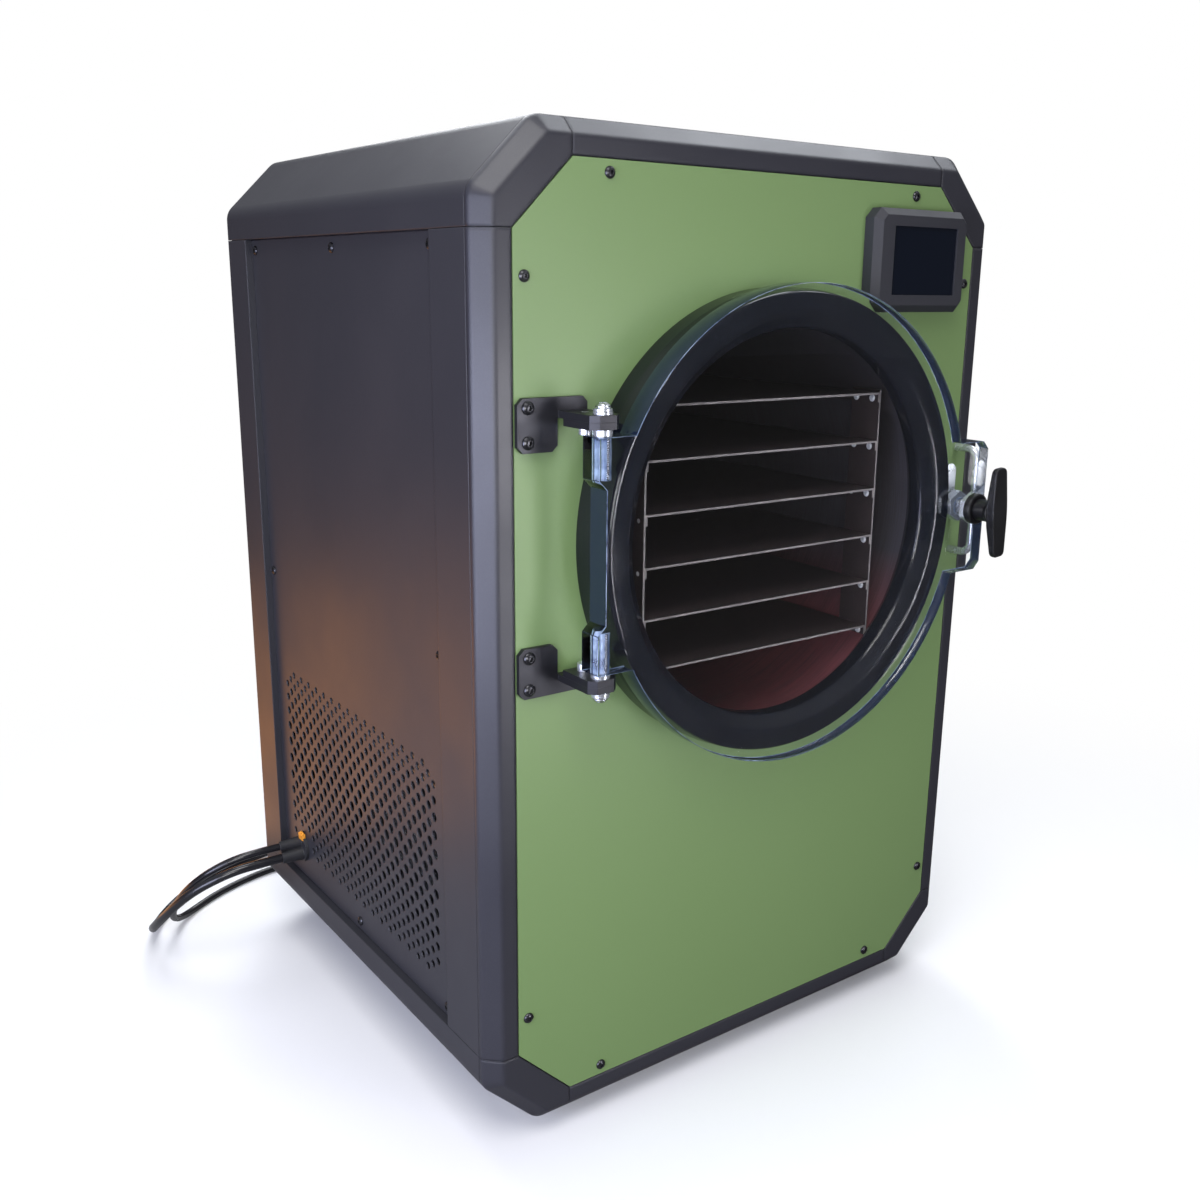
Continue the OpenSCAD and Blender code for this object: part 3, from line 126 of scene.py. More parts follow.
def soften(material, radius):
    """Rounds the look of sharp folded or machined edges."""
    nodes, links = material.node_tree.nodes, material.node_tree.links
    bevel = nodes.new("ShaderNodeBevel")
    bevel.samples = 4
    bevel.inputs["Radius"].default_value = radius
    links.new(bevel.outputs["Normal"], shader_of(material).inputs["Normal"])


def stain(material, factor, colour):
    """Mixes another colour over the base where the factor is 1."""
    nodes, links = material.node_tree.nodes, material.node_tree.links
    base = shader_of(material).inputs["Base Color"]
    mix = nodes.new("ShaderNodeMix")
    mix.data_type = "RGBA"
    mix.inputs[6].default_value = base.default_value[:]
    mix.inputs[7].default_value = (*colour, 1)
    if base.is_linked:
        links.new(base.links[0].from_socket, mix.inputs[6])
    links.new(factor, mix.inputs[0])
    links.new(mix.outputs[2], base)


def shine(material, value, low, high):
    """Lets the roughness wander between low and high."""
    links = material.node_tree.links
    links.new(
        spread(material, value, 0.3, 0.7, low, high),
        shader_of(material).inputs["Roughness"],
    )


def dress(material, *names):
    for name in names:
        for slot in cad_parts[name].material_slots:
            slot.material = material


sheath = finish("black_sheath", (0.012, 0.012, 0.014), 0.2)
relief(sheath, cloud(sheath, 160, 2), 0.0002, 0.5)
shine(sheath, cloud(sheath, 60, 3), 0.12, 0.3)
moulded = finish("moulded_rubber", (0.018, 0.018, 0.02), 0.45)
soften(moulded, 0.0008)
relief(moulded, cloud(moulded, 1800, 2), 0.00005, 0.6)
shine(moulded, cloud(moulded, 40, 3), 0.36, 0.55)


# Mains cord: 8 mm round lead of about 1.6 m. It leaves the lower sleeve of the grommet, drops to
# the floor, runs round behind the cabinet and is wound there into three turns with its plug.
def wound(centre, start, total, across, middle):
    """A coil two turns wide and two high: outer, inner, up, and out again, turning clockwise.

    The cord moves over to its next place between two angles, in degrees from the coil's start.
    """
    inward, upward, outward = (265, 335), (560, 640), (890, 960)
    degrees_a_step = 15
    off_floor = 0.0002
    points = []
    steps = round(total / degrees_a_step)
    for k in range(steps + 1):
        turned = total * k / steps

        def eased(first, last):
            t = min(max((turned - first) / (last - first), 0), 1)
            return across * t * t * (3 - 2 * t)

        radius = middle + across / 2 - eased(*inward) + eased(*outward)
        angle = math.radians(start - turned)
        points.append(
            (
                centre[0] + radius * math.cos(angle),
                centre[1] + radius * math.sin(angle),
                across / 2 + off_floor + eased(*upward),
            )
        )
    return points


def lead(name, points, diameter):
    curve = bpy.data.curves.new(name, "CURVE")
    curve.dimensions = "3D"
    curve.resolution_u = 4
    curve.bevel_depth = diameter / 2
    curve.bevel_resolution = 4
    curve.use_fill_caps = True
    line = curve.splines.new("BEZIER")
    line.bezier_points.add(len(points) - 1)
    for knot, point in zip(line.bezier_points, points):
        knot.co = point
        knot.handle_left_type = knot.handle_right_type = "AUTO"
    piece = bpy.data.objects.new(name, curve)
    bpy.context.collection.objects.link(piece)
    return piece


mains_route = [
    (-0.2430, 0.1565, 0.1020), (-0.2640, 0.1565, 0.1020), (-0.2840, 0.1590, 0.1000),
    (-0.3020, 0.1640, 0.0940), (-0.3170, 0.1730, 0.0840), (-0.3280, 0.1860, 0.0700),
    (-0.3350, 0.2020, 0.0540), (-0.3380, 0.2210, 0.0380), (-0.3370, 0.2410, 0.0240),
    (-0.3320, 0.2620, 0.0130), (-0.3230, 0.2820, 0.0060), (-0.3100, 0.3010, 0.0042),
    (-0.2930, 0.3190, 0.0042), (-0.2720, 0.3360, 0.0042), (-0.2480, 0.3500, 0.0042),
    (-0.2220, 0.3610, 0.0042), (-0.1940, 0.3690, 0.0042), (-0.1640, 0.3740, 0.0042),
    (-0.1330, 0.3760, 0.0042), (-0.1020, 0.3750, 0.0042), (-0.0720, 0.3765, 0.0042),
    (-0.0420, 0.3768, 0.0042), (-0.0120, 0.3760, 0.0042), (0.0180, 0.3733, 0.0042),
    (0.0450, 0.3688, 0.0042),
]
mains_tail = [
    (0.0825, 0.3606, 0.0114), (0.0944, 0.3584, 0.0098), (0.1063, 0.3570, 0.0074),
    (0.1183, 0.3564, 0.0054), (0.1303, 0.3563, 0.0042), (0.1423, 0.3563, 0.0042),
    (0.1530, 0.3563, 0.0049), (0.1630, 0.3563, 0.0069), (0.1730, 0.3563, 0.0090),
    (0.1820, 0.3563, 0.0100),
]
mains_across = 0.008
mains_centre, mains_middle = (0.058, 0.314), 0.047
mains_start, mains_turned = 76, 1081
mains_coil = wound(mains_centre, mains_start, mains_turned, mains_across, mains_middle)
mains_points = mains_route + mains_coil + mains_tail
mains_lead = lead("mains_lead", mains_points, mains_across)
mains_lead.data.materials.append(sheath)
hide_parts("mains_cord", "mains_coil")
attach(mains_lead, "cabinet")
dress(moulded, "mains_plug")

# Pump cord: 6.5 mm lead of about 1.3 m that ends in the connector for the vacuum pump. It lies
# beside the mains cord and is wound into a smaller coil of three and a half turns.
pump_route = [
    (-0.2430, 0.1615, 0.1110), (-0.2630, 0.1615, 0.1110), (-0.2820, 0.1650, 0.1080),
    (-0.2980, 0.1710, 0.1010), (-0.3100, 0.1810, 0.0900), (-0.3180, 0.1940, 0.0760),
    (-0.3220, 0.2090, 0.0600), (-0.3220, 0.2250, 0.0450), (-0.3190, 0.2410, 0.0310),
    (-0.3130, 0.2570, 0.0190), (-0.3040, 0.2720, 0.0100), (-0.2920, 0.2860, 0.0050),
    (-0.2770, 0.2980, 0.0035), (-0.2590, 0.3090, 0.0035), (-0.2400, 0.3180, 0.0035),
    (-0.2200, 0.3250, 0.0035), (-0.2000, 0.3300, 0.0035), (-0.1800, 0.3320, 0.0035),
    (-0.1600, 0.3324, 0.0035), (-0.1400, 0.3322, 0.0035), (-0.1200, 0.3316, 0.0035),
    (-0.1000, 0.3308, 0.0035), (-0.0800, 0.3300, 0.0035), (-0.0600, 0.3294, 0.0035),
]
pump_tail = [
    (-0.0530, 0.2530, 0.0093), (-0.0640, 0.2539, 0.0079), (-0.0750, 0.2556, 0.0061),
    (-0.0860, 0.2578, 0.0046), (-0.0960, 0.2596, 0.0041), (-0.1060, 0.2606, 0.0047),
    (-0.1150, 0.2608, 0.0061), (-0.1230, 0.2608, 0.0076), (-0.1310, 0.2608, 0.0087),
]
pump_across = 0.0065
pump_centre, pump_middle = (-0.042, 0.291), 0.035
pump_start, pump_turned = 90, 1260
pump_coil = wound(pump_centre, pump_start, pump_turned, pump_across, pump_middle)
pump_points = pump_route + pump_coil + pump_tail
pump_lead = lead("pump_lead", pump_points, pump_across)
pump_lead.data.materials.append(sheath)
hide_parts("pump_cord", "pump_coil")
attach(pump_lead, "cabinet")
dress(moulded, "pump_connector", "cable_gland")

# Coil ties: a strip of soft black hook-and-loop tape, wrapped once round the turns of each coil
# at three places.
tape = finish("hook_and_loop_tape", (0.022, 0.022, 0.024), 0.85)
relief(tape, cloud(tape, 2500, 2), 0.0002, 0.8)
stain(tape, spread(tape, cloud(tape, 1800, 2), 0.45, 0.7), (0.045, 0.045, 0.048))


def pick(piece, wanted):
    """Opens a piece in edit mode with only the faces that are wanted selected."""
    bpy.context.tool_settings.mesh_select_mode = (False, False, True)
    bpy.ops.object.mode_set(mode="EDIT")
    bpy.ops.mesh.select_all(action="DESELECT")
    bpy.ops.object.mode_set(mode="OBJECT")
    for face in piece.data.polygons:
        face.select = wanted(face)
    bpy.ops.object.mode_set(mode="EDIT")


def coil_tie(name, centre, middle, bearing, across):
    """A closed band of tape round the turns, with its upper corners drawn in and rounded."""
    slack, tape_width, tape_thick = 0.0003, 0.012, 0.0009
    bpy.ops.object.select_all(action="DESELECT")
    bpy.ops.mesh.primitive_cube_add(size=1, location=(middle, 0, across + slack))
    band = bpy.context.object
    band.name = name
    band.scale = (2 * across + 2 * slack, tape_width, 2 * across + 0.0002)
    bpy.ops.object.transform_apply(location=True, rotation=True, scale=True)
    pick(band, lambda face: abs(face.normal.y) > 0.9)
    bpy.ops.mesh.delete(type="FACE")
    bpy.ops.mesh.select_all(action="SELECT")
    bpy.ops.mesh.subdivide(number_cuts=5)
    bpy.ops.object.mode_set(mode="OBJECT")
    low, high = 0.0002, 2 * across + 0.0004
    for corner in band.data.vertices:
        out = (corner.co.x - middle) / (across + slack)
        rise = 2 * (corner.co.z - low) / (high - low) - 1
        if rise > 0:
            corner.co.x = middle + (across + slack) * out * (1 - 0.10 * rise**4)
            corner.co.z -= 0.0016 * abs(out) ** 5 * rise
    wrap = band.modifiers.new("tape", "SOLIDIFY")
    wrap.thickness = tape_thick
    wrap.offset = 1
    edge = band.modifiers.new("edge", "BEVEL")
    edge.width = 0.0002
    bpy.ops.object.modifier_apply(modifier="tape")
    bpy.ops.object.modifier_apply(modifier="edge")
    band.rotation_euler = (0, 0, math.radians(bearing))
    band.location = (centre[0], centre[1], 0)
    bpy.ops.object.transform_apply(location=True, rotation=True, scale=True)
    bpy.ops.object.shade_smooth_by_angle(angle=math.radians(40))
    lowest = min(corner.co.z for corner in band.data.vertices)
    for corner in band.data.vertices:
        corner.co.z += 0.0001 - lowest
    band.data.materials.append(tape)
    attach(band, "cabinet")


for count, bearing in enumerate((-20, 100, 220)):
    coil_tie("mains_tie_%d" % (count + 1), mains_centre, mains_middle, bearing, mains_across)
    coil_tie("pump_tie_%d" % (count + 1), pump_centre, pump_middle, bearing + 25, pump_across)

# Grommet clip: a small orange nylon tab that locks the grommet's flange, and stands out above it.
clip_nylon = finish("orange_nylon", (0.80, 0.33, 0.035), 0.4)
relief(clip_nylon, cloud(clip_nylon, 900, 2), 0.00005, 0.5)
stain(clip_nylon, spread(clip_nylon, cloud(clip_nylon, 300, 2), 0.4, 0.7), (0.70, 0.26, 0.02))
flange_low, flange_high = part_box("cable_gland")
clip_y = (flange_low[1] + flange_high[1]) / 2 - 0.003
bpy.ops.object.select_all(action="DESELECT")
bpy.ops.mesh.primitive_cube_add(
    size=1, location=(flange_high[0] - 0.0058, clip_y, flange_high[2] - 0.0012)
)
clip = bpy.context.object
clip.name = "grommet_clip"
clip.scale = (0.0034, 0.0085, 0.0060)
bpy.ops.object.transform_apply(location=True, rotation=True, scale=True)
pick(clip, lambda face: face.normal.z > 0.9)
bpy.ops.mesh.inset(thickness=0.0008)
bpy.ops.mesh.extrude_region_move(TRANSFORM_OT_translate={"value": (0, 0, 0.0016)})
bpy.ops.transform.resize(value=(0.8, 0.6, 1))
bpy.ops.object.mode_set(mode="OBJECT")
edge = clip.modifiers.new("edge", "BEVEL")
edge.width = 0.0006
edge.segments = 3
bpy.ops.object.modifier_apply(modifier="edge")
bpy.ops.object.shade_smooth_by_angle(angle=math.radians(50))
clip.data.materials.append(clip_nylon)
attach(clip, "cabinet")

# Floor and light: a pale floor that fades to white, and is mirrored in the object as a dark one
# with a painted pool of light beside the cabinet's left side. Soft lamps stand at the left, the
# left front, over and behind the cabinet, a narrow one at the right front, and a low orange one
# behind the left side.
def seen_clear(nodes, links):
    """1 where the camera looks straight or through clear plastic. Input 1 takes the share that
    reflections get."""
    path = nodes.new("ShaderNodeLightPath")
    bounces = nodes.new("ShaderNodeMath")
    bounces.operation = "ADD"
    first = nodes.new("ShaderNodeMath")
    first.operation = "LESS_THAN"
    first.inputs[1].default_value = 0.5
    through = nodes.new("ShaderNodeMath")
    through.operation = "MULTIPLY"
    clear = nodes.new("ShaderNodeMath")
    clear.operation = "MAXIMUM"
    both = nodes.new("ShaderNodeMath")
    both.operation = "MULTIPLY_ADD"
    links.new(path.outputs["Diffuse Depth"], bounces.inputs[0])
    links.new(path.outputs["Glossy Depth"], bounces.inputs[1])
    links.new(bounces.outputs["Value"], first.inputs[0])
    links.new(path.outputs["Is Transmission Ray"], through.inputs[0])
    links.new(first.outputs["Value"], through.inputs[1])
    links.new(path.outputs["Is Camera Ray"], clear.inputs[0])
    links.new(through.outputs["Value"], clear.inputs[1])
    links.new(path.outputs["Is Glossy Ray"], both.inputs[0])
    links.new(clear.outputs["Value"], both.inputs[2])
    return both


bpy.ops.object.select_all(action="DESELECT")
bpy.ops.mesh.primitive_plane_add(size=16, location=(0, 0, 0))
floor = bpy.context.object
floor.name = "floor"
floor_paint = bpy.data.materials.new("pale_floor")
floor_paint.use_nodes = True
nodes, links = floor_paint.node_tree.nodes, floor_paint.node_tree.links
ground = nodes["Principled BSDF"]
ground.inputs["Base Color"].default_value = (0.88, 0.88, 0.88, 1)
ground.inputs["Roughness"].default_value = 0.6
ground.inputs["Specular IOR Level"].default_value = 0.2
dark = nodes.new("ShaderNodeBsdfDiffuse")
dark.inputs["Color"].default_value = (0.032, 0.028, 0.027, 1)
white = nodes.new("ShaderNodeEmission")
white.inputs["Color"].default_value = (1, 1, 1, 1)
place = nodes.new("ShaderNodeTexCoord")
away = nodes.new("ShaderNodeVectorMath")
away.operation = "LENGTH"
far = nodes.new("ShaderNodeMapRange")
far.interpolation_type = "SMOOTHSTEP"
far.inputs["From Min"].default_value = 0.25
far.inputs["From Max"].default_value = 1.1
pale = nodes.new("ShaderNodeMixShader")
seen = nodes.new("ShaderNodeMixShader")
links.new(place.outputs["Object"], away.inputs[0])
links.new(away.outputs["Value"], far.inputs["Value"])
links.new(far.outputs["Result"], pale.inputs[0])
links.new(ground.outputs["BSDF"], pale.inputs[1])
links.new(white.outputs["Emission"], pale.inputs[2])
# Painted pool of light: reflections see the floor paler near a spot beside the cabinet's left
# side, and darker further off.
beside = nodes.new("ShaderNodeVectorMath")
beside.operation = "DISTANCE"
beside.inputs[1].default_value = (-0.40, 0.10, 0)
near = nodes.new("ShaderNodeMapRange")
near.interpolation_type = "SMOOTHSTEP"
near.inputs["From Min"].default_value = 0.2
near.inputs["From Max"].default_value = 0.65
near.inputs["To Min"].default_value = 0.34
near.inputs["To Max"].default_value = 0.05
links.new(place.outputs["Object"], beside.inputs[0])
links.new(beside.outputs["Value"], near.inputs["Value"])
shown = seen_clear(nodes, links)
links.new(near.outputs["Result"], shown.inputs[1])
links.new(shown.outputs["Value"], seen.inputs[0])
links.new(dark.outputs["BSDF"], seen.inputs[1])
links.new(pale.outputs["Shader"], seen.inputs[2])
links.new(seen.outputs["Shader"], nodes["Material Output"].inputs["Surface"])
floor.data.materials.append(floor_paint)

world = bpy.data.worlds.new("studio")
world.use_nodes = True
bpy.context.scene.world = world
nodes, links = world.node_tree.nodes, world.node_tree.links
sky = nodes["Background"]
sky.inputs["Color"].default_value = (0.90, 0.92, 1, 1)
place = nodes.new("ShaderNodeTexCoord")
height = nodes.new("ShaderNodeSeparateXYZ")
ceiling = nodes.new("ShaderNodeMapRange")
ceiling.interpolation_type = "SMOOTHSTEP"
ceiling.inputs["From Min"].default_value = 0.05
ceiling.inputs["From Max"].default_value = 0.7
ceiling.inputs["To Min"].default_value = 0.05
ceiling.inputs["To Max"].default_value = 0.36
links.new(place.outputs["Generated"], height.inputs["Vector"])
links.new(height.outputs["Z"], ceiling.inputs["Value"])
links.new(ceiling.outputs["Result"], sky.inputs["Strength"])
backdrop = nodes.new("ShaderNodeBackground")
backdrop.inputs["Color"].default_value = (1, 1, 1, 1)
seen = nodes.new("ShaderNodeMixShader")
shown = seen_clear(nodes, links)
shown.inputs[1].default_value = 0.03
links.new(shown.outputs["Value"], seen.inputs[0])
links.new(sky.outputs["Background"], seen.inputs[1])
links.new(backdrop.outputs["Background"], seen.inputs[2])
links.new(seen.outputs["Shader"], nodes["World Output"].inputs["Surface"])


def lamp(name, place, aim, size, power, colour=(1, 1, 1)):
    data = bpy.data.lights.new(name, "AREA")
    data.shape = "DISK"
    data.size = size
    data.energy = power
    data.color = colour
    piece = bpy.data.objects.new(name, data)
    piece.location = place
    piece.rotation_euler = (Vector(aim) - Vector(place)).to_track_quat("-Z", "Y").to_euler()
    piece.visible_camera = False
    bpy.context.collection.objects.link(piece)
    return data


lamp("key", (-0.72, -0.85, 1.80), (-0.15, -0.15, 0.45), 1.0, 16, (1, 0.99, 0.98))
lamp("front", (-0.80, -1.0, 0.50), (-0.15, -0.15, 0.3), 0.5, 5)
strip = lamp("strip", (0.30, -1.17, 0.32), (-0.25, -0.19, 0.36), 0.22, 2.1, (0.94, 0.93, 1))
strip.shape = "RECTANGLE"
strip.size_y = 0.62
strip.spread = math.radians(110)
lamp("left", (-1.25, -0.45, 0.28), (-0.2, -0.2, 0.28), 1.0, 22, (0.70, 0.74, 1))
lamp("over", (0.9, 0, 1.85), (0, -0.1, 0.6), 1.0, 11, (0.90, 0.94, 1))
lamp("top", (0.1, 1.0, 2.4), (0, 0, 0.6), 1.4, 25, (0.93, 0.96, 1))
lamp("back", (0.95, 2.1, 1.75), (0, 0.1, 0.35), 1.0, 14, (0.95, 0.97, 1))
lamp("warm", (-0.58, 0.88, 0.01), (-0.58, 0.88, 1), 1.15, 4.5, (1, 0.40, 0.09))

# Cabinet shell: folded 1.5 mm steel, powder coated charcoal with a fine orange-peel skin. The
# posts, roof and base are screwed to the side and rear panels from outside.
charcoal = finish("charcoal_powder_coat", (0.0225, 0.0222, 0.0275), 0.42)
soften(charcoal, 0.0014)
relief(charcoal, cloud(charcoal, 900, 3), 0.00012, 0.5)
stain(
    charcoal,
    spread(charcoal, cloud(charcoal, 2600, 2), 0.35, 0.75),
    (0.036, 0.036, 0.042),
)
shine(charcoal, cloud(charcoal, 9, 4), 0.36, 0.48)
dress(
    charcoal,
    "top_hood",
    "base_pan",
    "front_post_left",
    "front_post_right",
    "rear_post_left",
    "rear_post_right",
    "side_panel_left",
    "side_panel_right",
    "rear_panel",
)

# Front frame: four rails and four moulded corners with a bevelled front edge, in a slightly
# smoother coat than the shell.
frame_coat = finish("frame_powder_coat", (0.0205, 0.0205, 0.0285), 0.38)
soften(frame_coat, 0.0032)
relief(frame_coat, cloud(frame_coat, 1100, 3), 0.0001, 0.45)
stain(
    frame_coat,
    spread(frame_coat, cloud(frame_coat, 2600, 2), 0.35, 0.75),
    (0.036, 0.036, 0.043),
)
shine(frame_coat, cloud(frame_coat, 12, 4), 0.33, 0.43)
dress(
    frame_coat,
    "frame_rail_top",
    "frame_rail_bottom",
    "frame_rail_left",
    "frame_rail_right",
    "frame_corners",
)

# Front panel: a flat sheet painted satin olive green, set flush in the frame.
green = finish("olive_green_paint", (0.163, 0.254, 0.097), 0.42)
relief(green, cloud(green, 700, 3), 0.00006, 0.5)
stain(green, spread(green, cloud(green, 5, 3), 0.3, 0.8, 0, 0.35), (0.173, 0.268, 0.105))
shine(green, cloud(green, 7, 4), 0.39, 0.45)
dress(green, "front_panel")

# Screws and hinge plates: black oxide steel, oily and slightly blue where it catches light.
oxide = finish("black_oxide", (0.028, 0.028, 0.033), 0.36, 0.6)
soften(oxide, 0.0004)
relief(oxide, cloud(oxide, 1500, 2), 0.00003, 0.5)
shine(oxide, cloud(oxide, 90, 3), 0.3, 0.42)
dress(oxide, "hinge_bracket_upper", "hinge_bracket_lower", "hinge_links")
screw_oxide = finish("screw_oxide", (0.055, 0.055, 0.060), 0.26, 0.85)
soften(screw_oxide, 0.0003)
relief(screw_oxide, cloud(screw_oxide, 1500, 2), 0.00002, 0.5)
shine(screw_oxide, cloud(screw_oxide, 90, 3), 0.2, 0.32)
dress(screw_oxide, "front_panel_screws", "cabinet_screws", "hinge_screws")

# Feet: plain black rubber, screwed up into the base.
foot_rubber = finish("foot_rubber", (0.02, 0.02, 0.02), 0.75)
relief(foot_rubber, cloud(foot_rubber, 1200, 3), 0.0001, 0.6)
dress(foot_rubber, "feet")

# Chamber: welded stainless drum with a brushed inside, and the stub of its vacuum port. Its
# colour turns reddish toward the bottom as a painted reflection, and darker toward the top as
# painted shade.
drum_steel = finish("brushed_stainless", (0.10, 0.095, 0.11), 0.34, 0.6)
place = drum_steel.node_tree.nodes.new("ShaderNodeTexCoord")
height = drum_steel.node_tree.nodes.new("ShaderNodeSeparateXYZ")
drum_steel.node_tree.links.new(place.outputs["Object"], height.inputs["Vector"])
# Painted reflection: reddish colour toward the bottom of the drum, standing in for warm
# surroundings mirrored there.
stain(drum_steel, spread(drum_steel, height.outputs["Z"], 0.40, 0.34), (0.30, 0.085, 0.095))
# Painted shade: darker colour toward the top of the drum.
stain(drum_steel, spread(drum_steel, height.outputs["Z"], 0.47, 0.56), (0.05, 0.05, 0.06))
relief(drum_steel, cloud(drum_steel, 60, 4, (1, 30, 1)), 0.00008, 0.4)
stain(
    drum_steel,
    spread(drum_steel, cloud(drum_steel, 40, 5, (0.6, 30, 0.6)), 0.35, 0.7, 0, 0.5),
    (0.07, 0.045, 0.05),
)
dress(drum_steel, "chamber_drum", "vacuum_port")

# Door gasket: thick moulded black rubber ring, pushed over the chamber's rim, glossy from its
# silicone grease.
gasket_rubber = finish("greased_rubber", (0.004, 0.005, 0.008), 0.1)
relief(gasket_rubber, cloud(gasket_rubber, 40, 3), 0.0003, 0.15)
shine(gasket_rubber, cloud(gasket_rubber, 25, 3), 0.06, 0.18)
dress(gasket_rubber, "door_gasket")

# Shelf rack: six dark coated steel shelves, riveted to four straps.
shelf_coat = finish("dark_shelf_coat", (0.020, 0.0135, 0.0135), 0.42)


def cut_edge(material, colour, roughness):
    """The sheet's cut edges, which face the front, are bare and brighter than its faces."""
    nodes, links = material.node_tree.nodes, material.node_tree.links
    facing = nodes.new("ShaderNodeNewGeometry")
    parts = nodes.new("ShaderNodeSeparateXYZ")
    links.new(facing.outputs["True Normal"], parts.inputs["Vector"])
    bare = spread(material, parts.outputs["Y"], -0.9, -0.99)
    stain(material, bare, colour)
    rough = shader_of(material).inputs["Roughness"]
    links.new(spread(material, bare, 0, 1, rough.default_value, roughness), rough)


relief(shelf_coat, cloud(shelf_coat, 1200, 3), 0.00004, 0.5)
cut_edge(shelf_coat, (0.18, 0.16, 0.155), 0.35)
dress(shelf_coat, "rack_straps", *["shelf_%d" % k for k in range(1, 7)])
rivet_metal = finish("rivet_aluminium", (0.62, 0.62, 0.64), 0.3, 0.4)
relief(rivet_metal, cloud(rivet_metal, 900, 2), 0.00003, 0.5)
dress(rivet_metal, "shelf_rivets")

# Door: a slab of clear cast acrylic, 18 mm thick, with flame-polished and slightly rounded edges.
# Edge-on the slab shows its blue-grey tint, deepened to dark navy on its side walls as a painted
# dark reflection, and made pale blue on its rounded arrises as a painted highlight.
acrylic_ior = 1.49
acrylic = finish("clear_acrylic", (0.985, 0.992, 1.0), 0.0)
shader_of(acrylic).inputs["Transmission Weight"].default_value = 1
shine(acrylic, cloud(acrylic, 30, 3), 0.0, 0.012)
# Side walls: the real blue-grey tint, deepened to dark navy as a painted dark reflection.
acrylic_edge = finish("acrylic_edge", (0.016, 0.027, 0.055), 0.06)
shader_of(acrylic_edge).inputs["Transmission Weight"].default_value = 0.45
shine(acrylic_edge, cloud(acrylic_edge, 60, 3, (1, 0.2, 1)), 0.02, 0.1)
relief(acrylic_edge, cloud(acrylic_edge, 220, 2, (1, 0.2, 1)), 0.0001, 0.3)
# Rounded arrises: the real blue-grey tint, made pale as a painted highlight, with random darker
# patches.
acrylic_arris = finish("acrylic_arris", (0.34, 0.44, 0.60), 0.12)
shader_of(acrylic_arris).inputs["Transmission Weight"].default_value = 0.5
stain(
    acrylic_arris,
    spread(acrylic_arris, cloud(acrylic_arris, 90, 3), 0.4, 0.6),
    (0.08, 0.12, 0.22),
)
for plastic in (acrylic, acrylic_edge, acrylic_arris):
    shader_of(plastic).inputs["IOR"].default_value = acrylic_ior
    nodes, links = plastic.node_tree.nodes, plastic.node_tree.links
    path = nodes.new("ShaderNodeLightPath")
    lets_through = nodes.new("ShaderNodeBsdfTransparent")
    lets_through.inputs["Color"].default_value = (0.90, 0.93, 0.95, 1)
    lit = nodes.new("ShaderNodeMixShader")
    links.new(path.outputs["Is Shadow Ray"], lit.inputs[0])
    links.new(shader_of(plastic).outputs["BSDF"], lit.inputs[1])
    links.new(lets_through.outputs["BSDF"], lit.inputs[2])
    links.new(lit.outputs["Shader"], nodes["Material Output"].inputs["Surface"])
slab = bpy.data.objects.new("acrylic_door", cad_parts["door_pane"].data.copy())
bpy.context.collection.objects.link(slab)
bpy.ops.object.select_all(action="DESELECT")
slab.select_set(True)
bpy.context.view_layer.objects.active = slab
slab.data.materials.clear()
clear_face, side_face, arris_face = 0, 1, 2
for plastic in (acrylic, acrylic_edge, acrylic_arris):
    slab.data.materials.append(plastic)
bpy.ops.object.mode_set(mode="EDIT")
bpy.ops.mesh.select_all(action="SELECT")
bpy.ops.mesh.remove_doubles(threshold=0.00002)
bpy.ops.mesh.dissolve_limited(angle_limit=math.radians(0.6))
bpy.ops.object.mode_set(mode="OBJECT")
rounding = slab.modifiers.new("polished_edges", "BEVEL")
rounding.width = 0.0008
rounding.segments = 2
rounding.limit_method = "ANGLE"
rounding.angle_limit = math.radians(30)
bpy.ops.object.modifier_apply(modifier="polished_edges")
ear_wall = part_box("door_pane")[0][0] + 0.004
for face in slab.data.polygons:
    if abs(face.normal.y) > 0.98 or face.center.x < ear_wall and face.area > 0.0001:
        face.material_index = clear_face
    else:
        face.material_index = side_face if abs(face.normal.y) < 0.1 else arris_face
bpy.ops.object.shade_smooth_by_angle(angle=math.radians(35))
for face in slab.data.polygons:
    face.use_smooth = face.area < 0.0002
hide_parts("door_pane")
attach(slab, "door")

# Bright hardware: zinc-plated bolts, washers, nut, cam and striker.
zinc = finish("bright_zinc", (0.64, 0.67, 0.72), 0.24, 0.8)
soften(zinc, 0.0003)
relief(zinc, cloud(zinc, 700, 3), 0.00004, 0.5)
shine(zinc, cloud(zinc, 60, 3), 0.18, 0.34)
dress(zinc, "hinge_hardware", "latch_nut", "latch_cam", "striker")
threaded = finish("threaded_zinc", (0.72, 0.74, 0.80), 0.2, 1.0)
place = threaded.node_tree.nodes.new("ShaderNodeTexCoord")
turns = threaded.node_tree.nodes.new("ShaderNodeTexWave")
turns.bands_direction = "Z"
thread_pitch = 0.00125
one_band_a_metre = 0.314
turns.inputs["Scale"].default_value = one_band_a_metre / thread_pitch
threaded.node_tree.links.new(place.outputs["Object"], turns.inputs["Vector"])
relief(threaded, turns.outputs["Fac"], 0.0005, 0.8)
shine(threaded, cloud(threaded, 60, 3), 0.14, 0.3)
dress(threaded, "hinge_bolts")

# Latch handle and collar: black moulded nylon.
nylon = finish("black_nylon", (0.006, 0.006, 0.007), 0.33)
soften(nylon, 0.0016)
relief(nylon, cloud(nylon, 1400, 2), 0.00006, 0.5)
shine(nylon, cloud(nylon, 30, 3), 0.28, 0.42)
dress(nylon, "latch_handle", "latch_housing")

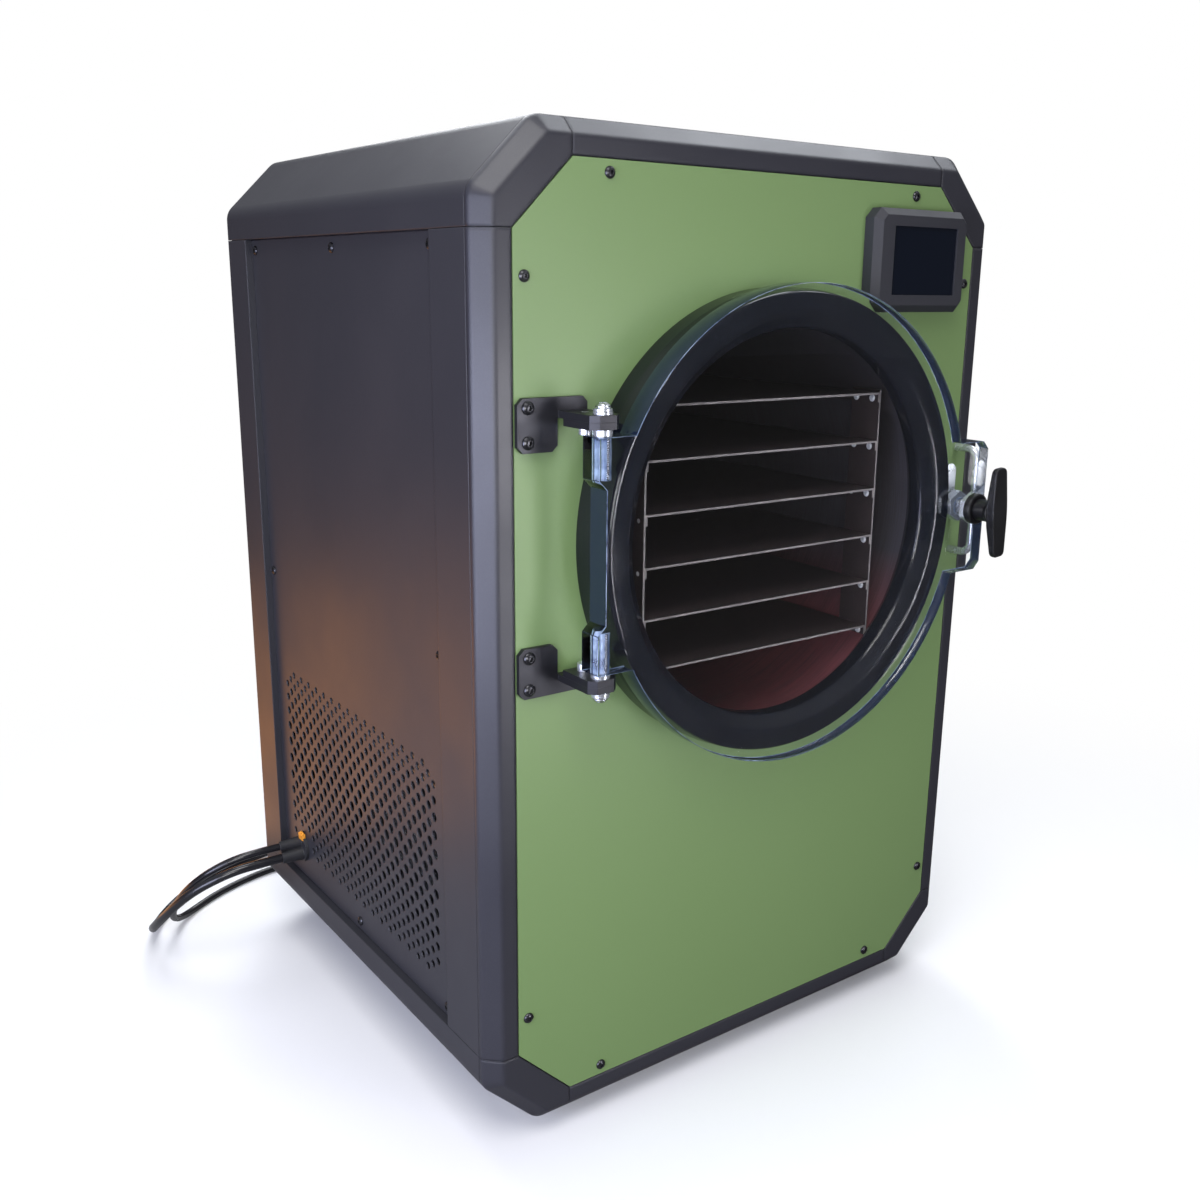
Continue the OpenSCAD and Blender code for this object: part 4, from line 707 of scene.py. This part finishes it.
# Display: dark textured housing with a glass touch screen set just behind its window.
housing_plastic = finish("display_case", (0.022, 0.0225, 0.029), 0.58)
soften(housing_plastic, 0.0006)
relief(housing_plastic, cloud(housing_plastic, 1600, 3), 0.0001, 0.6)
shine(housing_plastic, cloud(housing_plastic, 14, 3), 0.5, 0.62)
dress(housing_plastic, "display_housing")
screen_glass = finish("screen_glass", (0.003, 0.005, 0.011), 0.05)
relief(screen_glass, cloud(screen_glass, 6, 2), 0.0001, 0.1)
dress(screen_glass, "display_screen")

# Works inside the cabinet: deck, cooling set, board and insulation.
galvanised = finish("galvanised_steel", (0.42, 0.43, 0.44), 0.42, 1.0)
stain(
    galvanised, spread(galvanised, cloud(galvanised, 70, 1), 0.45, 0.55), (0.34, 0.35, 0.37)
)
dress(galvanised, "chamber_deck")
fins = finish("fin_aluminium", (0.62, 0.63, 0.64), 0.35, 1.0)
relief(fins, cloud(fins, 500, 2), 0.00005, 0.5)
dress(fins, "condenser", "evaporator_coil")
shell_paint = finish("compressor_paint", (0.012, 0.012, 0.012), 0.25)
relief(shell_paint, cloud(shell_paint, 300, 3), 0.0001, 0.5)
dress(shell_paint, "compressor")
motor_paint = finish("motor_paint", (0.09, 0.09, 0.1), 0.5)
relief(motor_paint, cloud(motor_paint, 900, 2), 0.00006, 0.5)
dress(motor_paint, "fan_motor", "fan_rotor")
board_mask = finish("board_green", (0.02, 0.12, 0.05), 0.3)
relief(board_mask, cloud(board_mask, 900, 2), 0.00006, 0.5)
dress(board_mask, "control_board")
foam = finish("closed_cell_foam", (0.03, 0.03, 0.032), 0.9)
relief(foam, cloud(foam, 700, 4), 0.0004, 0.8)
dress(foam, "insulation_jacket")

# Power switch: a glossy black rocker in a bezel, clipped into the rear panel.
switch_plastic = finish("switch_plastic", (0.014, 0.014, 0.015), 0.3)
soften(switch_plastic, 0.0006)
relief(switch_plastic, cloud(switch_plastic, 1200, 2), 0.00004, 0.5)
dress(switch_plastic, "switch_bezel", "switch_rocker")
